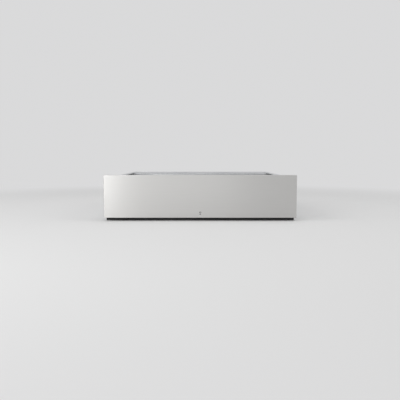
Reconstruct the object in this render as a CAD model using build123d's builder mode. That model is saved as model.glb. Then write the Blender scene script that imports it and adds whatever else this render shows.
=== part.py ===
from build123d import *
import math
import os

# Vacuum sealing drawer for a 600 mm wide, 150 mm high cabinet niche, in millimetres.
# +Z is up, the user stands on the -Y side, and the origin is the middle of the underside.

os.makedirs("parts", exist_ok=True)

# Outer sizes
panel_width = 595.0
panel_height = 132.0
panel_depth = 20.0
panel_lift = 10.0
closing_gap = 4.0
panel_overhang = 3.5
panel_rise = 6.0
rear_space = 50.0

# Sheet and plate thicknesses
panel_sheet = 1.0
frame_sheet = 1.5
housing_sheet = 1.0
rail_sheet = 1.5
drawer_sheet = 1.0
carrier_sheet = 1.5
deck_sheet = 1.2
chamber_sheet = 1.2
slide_sheet = 1.2
cage_sheet = 0.6
clamp_sheet = 1.5
bracket_sheet = 2.0
sheet_bend = 1.5

# Clearances
seat_gap = 0.3
running_gap = 0.05
press_in = 3.0

# Front panel
panel_bend = 1.2
return_lip = 12.0

# Housing and its front frame
frame_overlap = 16.0
frame_side = 11.0
frame_sill = 8.0
frame_top = 4.0
frame_tab_length = 20.0
frame_tab_height = 14.0
slide_notch_gap = 3.0
fixing_inset = 6.5
fixing_height = 96.0
fixing_radius = 2.2
buffer_width = 6.0
buffer_height = 24.0
buffer_thickness = 0.8
foot_flange = 15.0
top_flange = 20.0
rear_recess = 8.0
bead_width = 18.0
bead_length = 420.0
bead_height = 2.0
bead_spacing = 300.0
bead_chamfer = 5.0
rail_depth = 32.0
cover_setback = 16.0
cover_lip = 6.0
vent_height = 26.0
vent_width = 4.0
vent_pitch = 12.0
vent_count = 5
vent_back = 60.0

# Louvres in the rear wall and slots in the covers
louvre_width = 62.0
louvre_pitch = 11.0
louvre_rise = 4.5
louvre_reach = 4.0
louvre_count = 5
louvre_spacing = 90.0
louvre_centre = -90.0
slot_length = 60.0
slot_width = 4.0
slot_pitch = 10.0
slot_count = 7
slot_spacing = 170.0
base_slot_count = 3

# Mains inlet
inlet_edge = 72.0
inlet_z = 44.0
inlet_width = 27.0
inlet_height = 19.6
inlet_depth = 21.0
inlet_wall = 1.8
inlet_flange = 5.0
inlet_flange_sheet = 2.0
inlet_pocket = 16.0
inlet_chamfer = 4.5
inlet_pin_width = 4.0
inlet_pin_height = 2.0
inlet_pin_pitch = 7.0
inlet_pin_length = 13.0
inlet_pin_drop = 1.0
inlet_pin_rise = 2.0
inlet_tab_thickness = 0.8

# Telescopic slides
slide_space = 13.0
slide_length = 450.0
slide_setback = 6.0
slide_height = 45.0
slide_z = 62.0
ball_radius = 1.8
ball_gap = 0.15
groove_depth = 0.3
outer_flange_end = 9.0
middle_web_start = 2.6
middle_flange_end = 11.0
inner_flange_start = 5.4
outer_ball_offset = 5.2
inner_ball_offset = 8.2
outer_cage_start = 1.6
inner_cage_start = 4.2
cage_reach = 6.6
cage_length = 220.0
cage_setback = 115.0
cage_end = 14.0

# Drawer body
sill_gap = 2.0
pump_bay = 145.0
drawer_flange = 13.0
drawer_drop = 18.0
front_tab = 15.0
front_tab_height = 82.0
front_screw_spacing = 56.0
deck_lip = 12.0
rear_flange = 12.0
striker_width = 26.0
striker_sheet = 1.5

# Vacuum chamber
chamber_width = 350.0
chamber_depth = 290.0
floor_gap = 12.8
chamber_corner = 25.0
floor_bevel = 7.0
chamber_rim = 13.0
front_strip = 63.5

# Lid, gasket and hinge
glass_thickness = 8.0
glass_corner = 12.0
glass_chamfer = 0.8
lid_side_overlap = 20.0
lid_front_overlap = 18.0
lid_back_overlap = 22.0
gasket_offset = 4.0
gasket_width = 8.0
gasket_height = 3.0
clamp_depth = 8.0
barrel_radius = 5.5
pin_radius = 2.5
pin_reach = 14.0
pin_sides = 12
bracket_width = 20.0
bracket_gap = 0.4
bracket_foot = 13.0
bracket_foot_height = 2.5
hinge_screw_pitch = 10.0
deck_back_margin = 4.0
handle_width = 120.0
handle_grip = 12.0
handle_under = 5.0
handle_lip = 3.0

# Sealing bar and the bar in the lid that it presses against
seal_length = 320.0
seal_width = 16.0
seal_height = 18.0
seal_daylight = 7.7
seal_foot_chamfer = 3.0
wire_width = 2.6
wire_height = 0.4
tape_width = 14.0
tape_height = 0.3
holder_width = 18.0
holder_height = 11.3
counter_width = 12.0
counter_height = 7.0
counter_drop = 2.0
cylinder_radius = 9.0
cylinder_spacing = 220.0
cylinder_margin = 6.0
rod_show = 14.0
rod_radius = 4.0
rod_depth = 16.0
rod_bottom_gap = 2.0

# Controls on the front strip of the deck
control_width = 330.0
control_depth = 32.0
control_thickness = 3.0
control_setback = 4.5
control_chamfer = 0.5
window_width = 90.0
window_depth = 14.0
board_thickness = 1.6
board_margin = 12.0
standoff_height = 4.0
standoff_radius = 3.0
standoff_inset = 6.0
connector_width = 36.0
connector_depth = 12.0
connector_height = 4.0
connector_x = -80.0

# Port for outside vessels, with its flip cap
port_y = -175.0
port_bore = 4.0
port_tube = 7.0
port_flange = 12.5
port_flange_height = 2.5
port_length = 24.0
port_seat_radius = 5.5
port_seat_depth = 1.5
cap_radius = 14.0
cap_height = 4.0
cap_nub = 4.5
cap_nub_height = 1.2
cap_arm = 18.5
cap_knuckle = 2.8
cap_pin = 1.2
cap_knuckle_width = 10.0
cap_ear_width = 3.0

# Pump and vacuum line
pump_gap = 6.0
motor_radius = 34.0
motor_fin = 3.0
motor_fin_width = 2.0
motor_fins = 16
motor_length = 62.0
bell_radius = 30.0
bell_length = 18.0
crank_length = 46.0
crank_depth = 56.0
crank_height = 52.0
crank_chamfer = 4.0
head_gap = 5.8
head_width = 30.0
head_fin = 5.0
head_fins = 4
pump_foot = 10.0
mount_radius = 8.0
mount_height = 8.0
mount_sides = 8
saddle_width = 3.0
saddle_depth = 34.0
filter_radius = 12.0
filter_length = 34.0
filter_neck = 8.0
filter_neck_radius = 5.0
valve_width = 60.0
valve_depth = 34.0
valve_height = 26.0
valve_chamfer = 2.5
solenoid_width = 20.0
solenoid_height = 30.0
solenoid_pitch = 28.0
hose_radius = 5.0
hose_sides = 6
hose_bend = 16.0
hose_lane = 17.0
hose_straight = 2.0
suction_margin = 7.0
suction_drop = 22.0
suction_radius = 11.0
suction_disc = 3.0
suction_slot_length = 11.0
suction_slot_width = 1.5
suction_slot_depth = 1.5
suction_slot_pitch = 5.5
suction_neck = 5.0
suction_length = 14.0
suction_nut = 9.0
suction_nut_height = 5.0

# Electrical pieces in the left bay
transformer_y = 30.0
core_width = 56.0
core_depth = 34.0
core_height = 44.0
coil_width = 34.0
coil_proud = 9.0
coil_height = 28.0
coil_chamfer = 5.0
power_board_y = -100.0
power_board_width = 54.0
power_board_length = 130.0
relay_width = 16.0
relay_length = 20.0
relay_height = 15.0
relay_pitch = 24.0
relay_count = 3
capacitor_radius = 9.0
capacitor_height = 28.0
capacitor_shift = 44.0
heat_sink_width = 18.0
heat_sink_length = 44.0
heat_sink_base = 4.0
heat_sink_height = 24.0
heat_sink_fins = 4
heat_sink_fin = 1.6
board_column = 13.0

# Cooling fan
fan_size = 80.0
fan_depth = 25.0
fan_bore = 37.5
fan_corner = 4.0
fan_x = -165.0
fan_base = 3.0
fan_strut = 4.0
hub_radius = 16.0
hub_depth = 18.0
blade_gap = 1.5
blade_count = 7
blade_thickness = 1.2
blade_chord = 17.0
blade_pitch = 45.0
blade_camber = 2.0
blade_seat = 2.5
shaft_radius = 1.5

# Push latch
latch_width = 28.0
latch_height = 26.0
latch_depth = 34.0
plunger_radius = 5.0
plunger_bore_depth = 24.0

# Screws
screw_radius = 2.0
screw_head = 3.8
screw_head_height = 2.2
screw_reach = 8.0

# Sides of the polygons that stand for round outlines where nothing runs or mates
screw_sides = 8
round_sides = 24

# Sizes of the drawer body and the housing, which follow what they hold and the panel
drawer_depth = front_strip + chamber_depth + pump_bay
housing_width = panel_width - 2 * (panel_overhang + frame_overlap)
housing_height = panel_lift + panel_height - panel_rise
housing_depth = carrier_sheet + drawer_depth + rear_space - closing_gap

# Places from front to back
total_depth = panel_depth + closing_gap + housing_depth
front_y = -total_depth / 2
panel_back_y = front_y + panel_depth
mouth_y = panel_back_y + closing_gap
frame_back_y = mouth_y + frame_sheet
back_y = total_depth / 2
rear_wall_y = back_y - rear_recess - housing_sheet
drawer_front_y = panel_back_y + carrier_sheet
drawer_back_y = drawer_front_y + drawer_depth
chamber_front_y = drawer_front_y + front_strip
chamber_back_y = chamber_front_y + chamber_depth
chamber_mid_y = (chamber_front_y + chamber_back_y) / 2
lid_front_y = chamber_front_y - lid_front_overlap
lid_back_y = chamber_back_y + lid_back_overlap
hinge_y = lid_back_y + barrel_radius + bracket_gap
deck_back_y = hinge_y + bracket_foot + deck_back_margin
housing_cover_y = hinge_y + cover_setback
seal_y = chamber_front_y + floor_bevel + cylinder_radius + cylinder_margin
slide_front_y = frame_back_y + slide_setback
control_y = drawer_front_y + control_setback + control_depth / 2
pump_y = (chamber_back_y + chamber_sheet + drawer_back_y) / 2
hose_lane_y = chamber_back_y + chamber_sheet + hose_lane

# Places from the middle outwards
side_inner_x = housing_width / 2 - housing_sheet
frame_half = housing_width / 2 + frame_overlap
mouth_half = housing_width / 2 - frame_side
drawer_half = side_inner_x - slide_space
drawer_inner_x = drawer_half - drawer_sheet
bay_x = (chamber_width / 2 + chamber_sheet + drawer_inner_x) / 2
glass_width = chamber_width + 2 * lid_side_overlap
profile_half = glass_width / 2 - glass_corner
bracket_inner_x = profile_half + bracket_gap
bracket_outer_x = bracket_inner_x + bracket_width
port_x = -(glass_width / 2 + drawer_inner_x) / 2
inlet_x = side_inner_x - inlet_edge
suction_x = chamber_width / 2 - chamber_corner - suction_radius - suction_margin
valve_x = suction_x + solenoid_pitch / 2
port_valve_x = suction_x + solenoid_pitch
crank_end_x = valve_x - valve_width / 2 - pump_gap - 2 * filter_radius - filter_neck
crank_x = crank_end_x - crank_length
pump_x = crank_x - motor_length

# Places from the floor upwards
panel_mid_z = panel_lift + panel_height / 2
mouth_top_z = housing_height - frame_top
drawer_bottom = frame_sill + sill_gap
base_top = drawer_bottom + 2 * drawer_sheet
deck_top = housing_height - drawer_drop
deck_under = deck_top - deck_sheet
floor_z = base_top + floor_gap + chamber_sheet
chamber_height = deck_under - floor_z
lid_bottom = deck_top + gasket_height + seat_gap
lid_top = lid_bottom + glass_thickness
hinge_z = deck_top + barrel_radius + seat_gap
holder_bottom = lid_bottom - holder_height
counter_bottom = holder_bottom - counter_drop
seal_top = counter_bottom - seal_daylight
seal_body_top = seal_top - tape_height
seal_bottom = seal_body_top - seal_height
cylinder_top = seal_bottom - rod_show
mount_top = base_top + mount_height
plate_top = mount_top + bracket_sheet
motor_z = (plate_top + deck_under) / 2
fan_z = (base_top + deck_under) / 2
rear_wall_top = deck_under - drawer_sheet - sheet_bend
side_signs = {"left": -1, "right": 1}

# Screw places
front_screw_x = drawer_inner_x - front_tab / 2
front_screw_places = [
    (x, fan_z + z)
    for x in (-front_screw_x, front_screw_x)
    for z in (-front_screw_spacing / 2, front_screw_spacing / 2)
]
hinge_screw_y = hinge_y + barrel_radius + screw_head
hinge_screw_places = [
    (x + dx, hinge_screw_y)
    for x in (-bracket_outer_x + bracket_width / 2, bracket_outer_x - bracket_width / 2)
    for dx in (-hinge_screw_pitch / 2, hinge_screw_pitch / 2)
]


def front_plane(y):
    """Plane across the drawer at depth y, facing the user: a negative extrude runs backwards."""
    return Plane.XZ.offset(-y)


def side_plane(x):
    """Plane along the drawer at width x, with depth and height as its axes."""
    return Plane.YZ.offset(x)


def level(z):
    """Horizontal plane at height z."""
    return Plane.XY.offset(z)


def between(low, high):
    """Middle of two places."""
    return (low + high) / 2


def folded_section(plane, points, sheet):
    """Cross-section of a folded sheet whose middle line runs through the points."""
    with BuildSketch(plane) as section:
        with BuildLine():
            FilletPolyline(*points, radius=sheet_bend)
        trace(line_width=sheet)
    return section.sketch


def rail_section(y, tip, web, half_height, sheet):
    """C-shaped cross-section of a slide member or a ball cage, from its tips to its web."""
    with BuildSketch(front_plane(y)) as section:
        with BuildLine():
            Polyline(
                (tip, slide_z + half_height),
                (web, slide_z + half_height),
                (web, slide_z - half_height),
                (tip, slide_z - half_height),
            )
        trace(line_width=sheet)
    return section.sketch


def slot_grid(count):
    """Two fields of ventilation slots, side by side."""
    return GridLocations(slot_spacing, slot_pitch, 2, count)


# Front panel: a stainless tray folded round the core, with a return lip behind
with BuildPart() as front_panel:
    with BuildSketch(front_plane(front_y)):
        with Locations((0, panel_mid_z)):
            Rectangle(panel_width, panel_height)
    extrude(amount=-panel_depth)
    fillet(front_panel.faces().sort_by(Axis.Y)[0].edges(), panel_bend)
    offset(amount=-panel_sheet, openings=front_panel.faces().sort_by(Axis.Y)[-1])
    with BuildSketch(front_plane(panel_back_y - panel_sheet)):
        with Locations((0, panel_mid_z)):
            Rectangle(panel_width - panel_sheet, panel_height - panel_sheet)
            Rectangle(panel_width - 2 * return_lip, panel_height - 2 * return_lip, mode=Mode.SUBTRACT)
    extrude(amount=-panel_sheet)
front_panel.part.label = "front_panel"
export_step(front_panel.part, "parts/front_panel.step")

# Panel core: stiffening board inside the folded panel
core_thickness = panel_depth - 2 * panel_sheet
with BuildPart() as panel_core:
    with BuildSketch(front_plane(front_y + panel_sheet)):
        with Locations((0, panel_mid_z)):
            Rectangle(panel_width - 2 * panel_sheet - seat_gap, panel_height - 2 * panel_sheet - seat_gap)
    extrude(amount=-core_thickness)
    chamfer(panel_core.faces().sort_by(Axis.Y)[0].edges(), panel_bend)
    with BuildSketch(front_plane(panel_back_y - panel_sheet)):
        with Locations((0, panel_mid_z)):
            Rectangle(panel_width - 2 * return_lip - seat_gap, panel_height - 2 * return_lip - seat_gap)
    extrude(amount=-panel_sheet)
    with BuildSketch(front_plane(panel_back_y)):
        with Locations(*front_screw_places):
            RegularPolygon(screw_radius, screw_sides)
    extrude(amount=screw_reach, mode=Mode.SUBTRACT)
panel_core.part.label = "panel_core"
export_step(panel_core.part, "parts/panel_core.step")

# Front carrier: steel plate between the panel and the drawer sides
carrier_top = mouth_top_z - sill_gap
with BuildPart() as front_carrier:
    with BuildSketch(front_plane(panel_back_y)):
        with Locations((0, between(drawer_bottom, carrier_top))):
            Rectangle(2 * drawer_half, carrier_top - drawer_bottom)
        with Locations(*front_screw_places):
            RegularPolygon(screw_radius, screw_sides, mode=Mode.SUBTRACT)
    extrude(amount=-carrier_sheet)
front_carrier.part.label = "front_carrier"
export_step(front_carrier.part, "parts/front_carrier.step")

# Housing base: flat sheet with two pressed stiffening beads
base_mid_y = between(frame_back_y, back_y)


def beads(inset):
    """Outline of the two beads, drawn in on every side by the inset."""
    with BuildSketch(level(0)) as outline:
        with Locations((-bead_spacing / 2, base_mid_y), (bead_spacing / 2, base_mid_y)):
            Rectangle(bead_width - 2 * inset, bead_length - 2 * inset)
        chamfer(outline.vertices(), bead_chamfer)
    return outline.sketch


with BuildPart() as housing_base:
    with BuildSketch(level(0)):
        with Locations((0, base_mid_y)):
            Rectangle(housing_width, back_y - frame_back_y)
    extrude(amount=housing_sheet)
    extrude(beads(0), amount=housing_sheet + bead_height)
    extrude(beads(housing_sheet), amount=bead_height, mode=Mode.SUBTRACT)
housing_base.part.label = "housing_base"
export_step(housing_base.part, "parts/housing_base.step")

# Housing sides: folded sheets with a foot flange and a top flange, cut short for the rear wall
for side, sign in side_signs.items():
    web_x = sign * (side_inner_x + housing_sheet / 2)
    side_path = [
        (web_x - sign * foot_flange, 1.5 * housing_sheet),
        (web_x, 1.5 * housing_sheet),
        (web_x, housing_height - housing_sheet / 2),
        (web_x - sign * top_flange, housing_height - housing_sheet / 2),
    ]
    with BuildPart() as housing_side:
        extrude(
            folded_section(front_plane(frame_back_y), side_path, housing_sheet),
            amount=-(back_y - frame_back_y),
        )
        with BuildSketch(level(0)):
            with Locations((sign * (side_inner_x - top_flange), between(rear_wall_y, back_y))):
                Rectangle(2 * top_flange, back_y - rear_wall_y)
        extrude(amount=housing_height, mode=Mode.SUBTRACT)
        with BuildSketch(side_plane(web_x - housing_sheet)):
            with Locations((rear_wall_y - vent_back, slide_z)):
                with GridLocations(vent_pitch, 1, vent_count, 1):
                    Rectangle(vent_width, vent_height)
        extrude(amount=2 * housing_sheet, mode=Mode.SUBTRACT)
    housing_side.part.label = f"housing_side_{side}"
    export_step(housing_side.part, f"parts/housing_side_{side}.step")

# Housing rear wall: shallow tray with two fields of pressed louvres and the inlet's cut-out
rear_flange_x = side_inner_x - housing_sheet / 2
rear_mid_y = rear_wall_y + housing_sheet / 2
rear_path = [
    (-rear_flange_x, back_y),
    (-rear_flange_x, rear_mid_y),
    (rear_flange_x, rear_mid_y),
    (rear_flange_x, back_y),
]
louvre_mid_z = housing_height / 2
lowest_louvre_z = louvre_mid_z - (louvre_count - 1) / 2 * louvre_pitch + louvre_rise / 2
hood_y = rear_wall_y + housing_sheet
with BuildPart() as housing_rear_wall:
    extrude(
        folded_section(level(housing_sheet), rear_path, housing_sheet),
        amount=housing_height - housing_sheet,
    )
    with BuildSketch(front_plane(rear_wall_y)):
        with Locations((louvre_centre, louvre_mid_z)):
            with GridLocations(louvre_spacing, louvre_pitch, 2, louvre_count):
                Rectangle(louvre_width, louvre_rise)
        with Locations((inlet_x, inlet_z)):
            Rectangle(inlet_width + running_gap, inlet_height + running_gap)
    extrude(amount=-housing_sheet, mode=Mode.SUBTRACT)
    for column_x in (louvre_centre - louvre_spacing / 2, louvre_centre + louvre_spacing / 2):
        for row in range(louvre_count):
            louvre_z = lowest_louvre_z + row * louvre_pitch
            with BuildSketch(side_plane(column_x - louvre_width / 2)):
                with BuildLine():
                    Polyline(
                        (hood_y, louvre_z + housing_sheet),
                        (hood_y + louvre_reach, louvre_z - louvre_rise / 2),
                        (hood_y + louvre_reach, louvre_z - louvre_rise),
                        (hood_y + louvre_reach - housing_sheet, louvre_z - louvre_rise),
                        (hood_y + louvre_reach - housing_sheet, louvre_z - louvre_rise / 2),
                        (hood_y, louvre_z),
                        close=True,
                    )
                make_face()
            extrude(amount=louvre_width)
housing_rear_wall.part.label = "housing_rear_wall"
export_step(housing_rear_wall.part, "parts/housing_rear_wall.step")

# Front frame: black plate round the mouth and the slides, with four fixing holes and four side tabs
low_tab_z = between(frame_sill, slide_z - slide_height / 2)
high_tab_z = between(slide_z + slide_height / 2, mouth_top_z)
with BuildPart() as front_frame:
    with BuildSketch(front_plane(mouth_y)):
        with Locations((0, housing_height / 2)):
            Rectangle(2 * frame_half, housing_height)
            with GridLocations(2 * (frame_half - fixing_inset), fixing_height, 2, 2):
                Circle(fixing_radius, mode=Mode.SUBTRACT)
        with Locations((0, between(frame_sill, mouth_top_z))):
            Rectangle(2 * mouth_half, mouth_top_z - frame_sill, mode=Mode.SUBTRACT)
        with Locations((0, slide_z)):
            Rectangle(2 * side_inner_x, slide_height + 2 * slide_notch_gap, mode=Mode.SUBTRACT)
    extrude(amount=-frame_sheet)
    with BuildSketch(front_plane(frame_back_y)):
        for sign in side_signs.values():
            tab_x = sign * (side_inner_x - frame_sheet / 2)
            with Locations((tab_x, low_tab_z), (tab_x, high_tab_z)):
                Rectangle(frame_sheet, frame_tab_height)
    extrude(amount=-frame_tab_length)
front_frame.part.label = "front_frame"
export_step(front_frame.part, "parts/front_frame.step")

# Closing buffers: soft pads on the frame that the pushed panel meets
buffer_x = frame_half - buffer_width
with BuildPart() as closing_buffers:
    with BuildSketch(front_plane(mouth_y)):
        with Locations((-buffer_x, housing_height / 2), (buffer_x, housing_height / 2)):
            Rectangle(buffer_width, buffer_height)
    extrude(amount=buffer_thickness)
closing_buffers.part.label = "closing_buffers"
export_step(closing_buffers.part, "parts/closing_buffers.step")

# Housing top rail: ties the sides together behind the frame
flange_under = housing_height - housing_sheet
cover_half = side_inner_x - sheet_bend
with BuildPart() as housing_top_rail:
    with BuildSketch(level(flange_under)):
        with Locations((0, frame_back_y + rail_depth / 2)):
            Rectangle(2 * cover_half, rail_depth)
    extrude(amount=-rail_sheet)
housing_top_rail.part.label = "housing_top_rail"
export_step(housing_top_rail.part, "parts/housing_top_rail.step")

# Housing top cover: slotted sheet over the pump end, with a folded front lip
cover_mid_z = flange_under - housing_sheet / 2
cover_path = [
    (housing_cover_y, cover_mid_z - cover_lip),
    (housing_cover_y, cover_mid_z),
    (rear_wall_y, cover_mid_z),
]
with BuildPart() as housing_top_cover:
    extrude(
        folded_section(side_plane(-cover_half), cover_path, housing_sheet),
        amount=2 * cover_half,
    )
    with BuildSketch(level(flange_under)):
        with Locations((0, between(housing_cover_y, rear_wall_y))):
            with slot_grid(slot_count):
                Rectangle(slot_length, slot_width)
    extrude(amount=-housing_sheet, mode=Mode.SUBTRACT)
housing_top_cover.part.label = "housing_top_cover"
export_step(housing_top_cover.part, "parts/housing_top_cover.step")

# Mains inlet: moulded three-pole socket in the rear wall, with its pins and inner tabs
inlet_face_y = rear_wall_y + housing_sheet + inlet_flange_sheet
inlet_front_y = rear_wall_y + housing_sheet - inlet_depth
pin_places = [
    (inlet_x - inlet_pin_pitch, inlet_z - inlet_pin_drop),
    (inlet_x, inlet_z + inlet_pin_rise),
    (inlet_x + inlet_pin_pitch, inlet_z - inlet_pin_drop),
]
with BuildPart() as mains_inlet:
    with BuildSketch(front_plane(inlet_front_y)):
        with Locations((inlet_x, inlet_z)):
            Rectangle(inlet_width, inlet_height)
    extrude(amount=-inlet_depth)
    with BuildSketch(front_plane(rear_wall_y + housing_sheet)):
        with Locations((inlet_x, inlet_z)):
            Rectangle(inlet_width + 2 * inlet_flange, inlet_height + inlet_flange)
    extrude(amount=-inlet_flange_sheet)
    with BuildSketch(front_plane(inlet_face_y)) as pocket:
        with Locations((inlet_x, inlet_z)):
            Rectangle(inlet_width - 2 * inlet_wall, inlet_height - 2 * inlet_wall)
        chamfer(pocket.vertices().group_by(Axis.Z)[-1], inlet_chamfer)
    extrude(amount=inlet_pocket, mode=Mode.SUBTRACT)
    with BuildSketch(front_plane(inlet_face_y - inlet_pocket)):
        with Locations(*pin_places):
            Rectangle(inlet_pin_width, inlet_pin_height)
    extrude(amount=-inlet_pin_length)
    with BuildSketch(front_plane(inlet_front_y)):
        with Locations(*pin_places):
            Rectangle(inlet_pin_width, inlet_tab_thickness)
    extrude(amount=inlet_pin_length)
mains_inlet.part.label = "mains_inlet"
export_step(mains_inlet.part, "parts/mains_inlet.step")

# Rolling ball of the slides, faceted: the shape that two crossed octagonal bars share
with BuildPart() as slide_ball:
    for index, plane in enumerate([Plane.XY, Plane.XZ]):
        with BuildSketch(plane):
            RegularPolygon(ball_radius, 8, rotation=22.5)
        extrude(
            amount=ball_radius,
            both=True,
            mode=Mode.ADD if index == 0 else Mode.INTERSECT,
        )

# Telescopic slides: outer, middle and inner members with a ball cage in each of the two gaps
groove_radius = ball_radius + ball_gap
outer_ball_z = slide_height / 2 - slide_sheet + groove_depth - groove_radius
middle_height = 2 * (outer_ball_z - groove_radius + groove_depth)
inner_ball_z = middle_height / 2 - slide_sheet + groove_depth - groove_radius
inner_height = 2 * (inner_ball_z - groove_radius + groove_depth)
cage_front_y = slide_front_y + cage_setback
cage_ball_ys = [cage_front_y + cage_end, cage_front_y + cage_length - cage_end]


def grooves(y, x, row_z):
    """Round raceways of the upper and lower ball rows about x, starting at depth y."""
    with BuildSketch(front_plane(y)) as rows:
        with Locations((x, slide_z + row_z), (x, slide_z - row_z)):
            Circle(groove_radius)
    return rows.sketch


for side, sign in side_signs.items():
    wall_x = sign * side_inner_x
    drawer_x = sign * drawer_half
    outer_row_x = wall_x - sign * outer_ball_offset
    inner_row_x = wall_x - sign * inner_ball_offset

    with BuildPart() as slide_outer:
        extrude(
            rail_section(
                slide_front_y,
                wall_x - sign * outer_flange_end,
                wall_x - sign * slide_sheet / 2,
                (slide_height - slide_sheet) / 2,
                slide_sheet,
            ),
            amount=-slide_length,
        )
        extrude(
            grooves(slide_front_y, outer_row_x, outer_ball_z),
            amount=-slide_length,
            mode=Mode.SUBTRACT,
        )
    slide_outer.part.label = f"slide_outer_{side}"
    export_step(slide_outer.part, f"parts/slide_outer_{side}.step")

    with BuildPart() as slide_middle:
        extrude(
            rail_section(
                slide_front_y,
                wall_x - sign * middle_flange_end,
                wall_x - sign * (middle_web_start + slide_sheet / 2),
                (middle_height - slide_sheet) / 2,
                slide_sheet,
            ),
            amount=-slide_length,
        )
        extrude(
            grooves(slide_front_y, outer_row_x, outer_ball_z),
            amount=-slide_length,
            mode=Mode.SUBTRACT,
        )
        extrude(
            grooves(slide_front_y, inner_row_x, inner_ball_z),
            amount=-slide_length,
            mode=Mode.SUBTRACT,
        )
    slide_middle.part.label = f"slide_middle_{side}"
    export_step(slide_middle.part, f"parts/slide_middle_{side}.step")

    with BuildPart() as slide_inner:
        extrude(
            rail_section(
                slide_front_y,
                wall_x - sign * inner_flange_start,
                drawer_x + sign * slide_sheet / 2,
                (inner_height - slide_sheet) / 2,
                slide_sheet,
            ),
            amount=-slide_length,
        )
        extrude(
            grooves(slide_front_y, inner_row_x, inner_ball_z),
            amount=-slide_length,
            mode=Mode.SUBTRACT,
        )
    slide_inner.part.label = f"slide_inner_{side}"
    export_step(slide_inner.part, f"parts/slide_inner_{side}.step")

    cages = {
        "outer": (outer_cage_start, outer_row_x, outer_ball_z),
        "inner": (inner_cage_start, inner_row_x, inner_ball_z),
    }
    for cage_name, (start, row_x, row_z) in cages.items():
        web = wall_x - sign * (start + cage_sheet / 2)
        with BuildPart() as ball_cage:
            extrude(
                rail_section(cage_front_y, web - sign * cage_reach, web, row_z, cage_sheet),
                amount=-cage_length,
            )
            with BuildSketch(level(slide_z - slide_height)):
                with Locations(*[(row_x, ball_y) for ball_y in cage_ball_ys]):
                    Rectangle(2 * groove_radius, 2 * groove_radius)
            extrude(amount=2 * slide_height, mode=Mode.SUBTRACT)
            for ball_y in cage_ball_ys:
                for row in (-row_z, row_z):
                    with Locations((row_x, ball_y, slide_z + row)):
                        add(slide_ball.part)
        ball_cage.part.label = f"ball_cage_{cage_name}_{side}"
        export_step(ball_cage.part, f"parts/ball_cage_{cage_name}_{side}.step")

# Drawer sides: folded sheets that carry the base on one flange and the deck on the other
tab_z = between(base_top, deck_under)
for side, sign in side_signs.items():
    web_x = sign * (drawer_inner_x + drawer_sheet / 2)
    side_path = [
        (web_x - sign * drawer_flange, drawer_bottom + drawer_sheet / 2),
        (web_x, drawer_bottom + drawer_sheet / 2),
        (web_x, deck_under - drawer_sheet / 2),
        (web_x - sign * drawer_flange, deck_under - drawer_sheet / 2),
    ]
    with BuildPart() as drawer_side:
        extrude(
            folded_section(front_plane(drawer_front_y), side_path, drawer_sheet),
            amount=-drawer_depth,
        )
        with BuildSketch(front_plane(drawer_front_y)):
            with Locations((sign * (drawer_inner_x - front_tab / 2), tab_z)):
                Rectangle(front_tab, front_tab_height)
            with Locations(*[p for p in front_screw_places if p[0] * sign > 0]):
                RegularPolygon(screw_radius, screw_sides, mode=Mode.SUBTRACT)
        extrude(amount=-drawer_sheet)
    drawer_side.part.label = f"drawer_side_{side}"
    export_step(drawer_side.part, f"parts/drawer_side_{side}.step")

# Drawer base: floor sheet on the side flanges, slotted below the pump and the boards
base_half = drawer_inner_x - sheet_bend
with BuildPart() as drawer_base:
    with BuildSketch(level(drawer_bottom + drawer_sheet)):
        with Locations((0, between(drawer_front_y, drawer_back_y))):
            Rectangle(2 * base_half, drawer_depth)
        with Locations((0, between(drawer_front_y, chamber_front_y))):
            with slot_grid(base_slot_count):
                Rectangle(slot_length, slot_width, mode=Mode.SUBTRACT)
    extrude(amount=drawer_sheet)
drawer_base.part.label = "drawer_base"
export_step(drawer_base.part, "parts/drawer_base.step")

# Drawer rear wall: tray with the fan opening and the outlet slots
wall_flange_x = drawer_inner_x - drawer_sheet / 2
wall_mid_y = drawer_back_y - drawer_sheet / 2
wall_path = [
    (-wall_flange_x, drawer_back_y - rear_flange),
    (-wall_flange_x, wall_mid_y),
    (wall_flange_x, wall_mid_y),
    (wall_flange_x, drawer_back_y - rear_flange),
]
with BuildPart() as drawer_rear_wall:
    extrude(
        folded_section(level(base_top), wall_path, drawer_sheet),
        amount=rear_wall_top - base_top,
    )
    with BuildSketch(front_plane(drawer_back_y - drawer_sheet)):
        with Locations((fan_x, fan_z)):
            RegularPolygon(fan_bore, round_sides)
        with Locations((-fan_x, fan_z)):
            with GridLocations(1, slot_pitch, 1, slot_count):
                Rectangle(slot_length, slot_width)
    extrude(amount=-drawer_sheet, mode=Mode.SUBTRACT)
    with BuildSketch(front_plane(drawer_back_y)):
        with Locations((0, slide_z)):
            Rectangle(striker_width, striker_width)
    extrude(amount=-striker_sheet)
drawer_rear_wall.part.label = "drawer_rear_wall"
export_step(drawer_rear_wall.part, "parts/drawer_rear_wall.step")

# Deck: stainless top of the drawer round the chamber's mouth
with BuildPart() as deck_plate:
    with BuildSketch(level(deck_under)):
        with Locations((0, between(drawer_front_y, deck_back_y))):
            Rectangle(2 * drawer_half, deck_back_y - drawer_front_y)
        with Locations((0, chamber_mid_y)):
            RectangleRounded(chamber_width, chamber_depth, chamber_corner, mode=Mode.SUBTRACT)
        with Locations((0, control_y)):
            Rectangle(window_width, window_depth, mode=Mode.SUBTRACT)
        with Locations((port_x, port_y)):
            RegularPolygon(port_tube, pin_sides, rotation=180 / pin_sides, mode=Mode.SUBTRACT)
        with Locations(*hinge_screw_places):
            RegularPolygon(screw_radius, screw_sides, mode=Mode.SUBTRACT)
    extrude(amount=deck_sheet)
    with BuildSketch(front_plane(drawer_front_y)):
        with Locations((0, deck_top - deck_lip / 2)):
            Rectangle(2 * (drawer_inner_x - front_tab - seat_gap), deck_lip)
    extrude(amount=-deck_sheet)
deck_plate.part.label = "deck_plate"
export_step(deck_plate.part, "parts/deck_plate.step")

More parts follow.
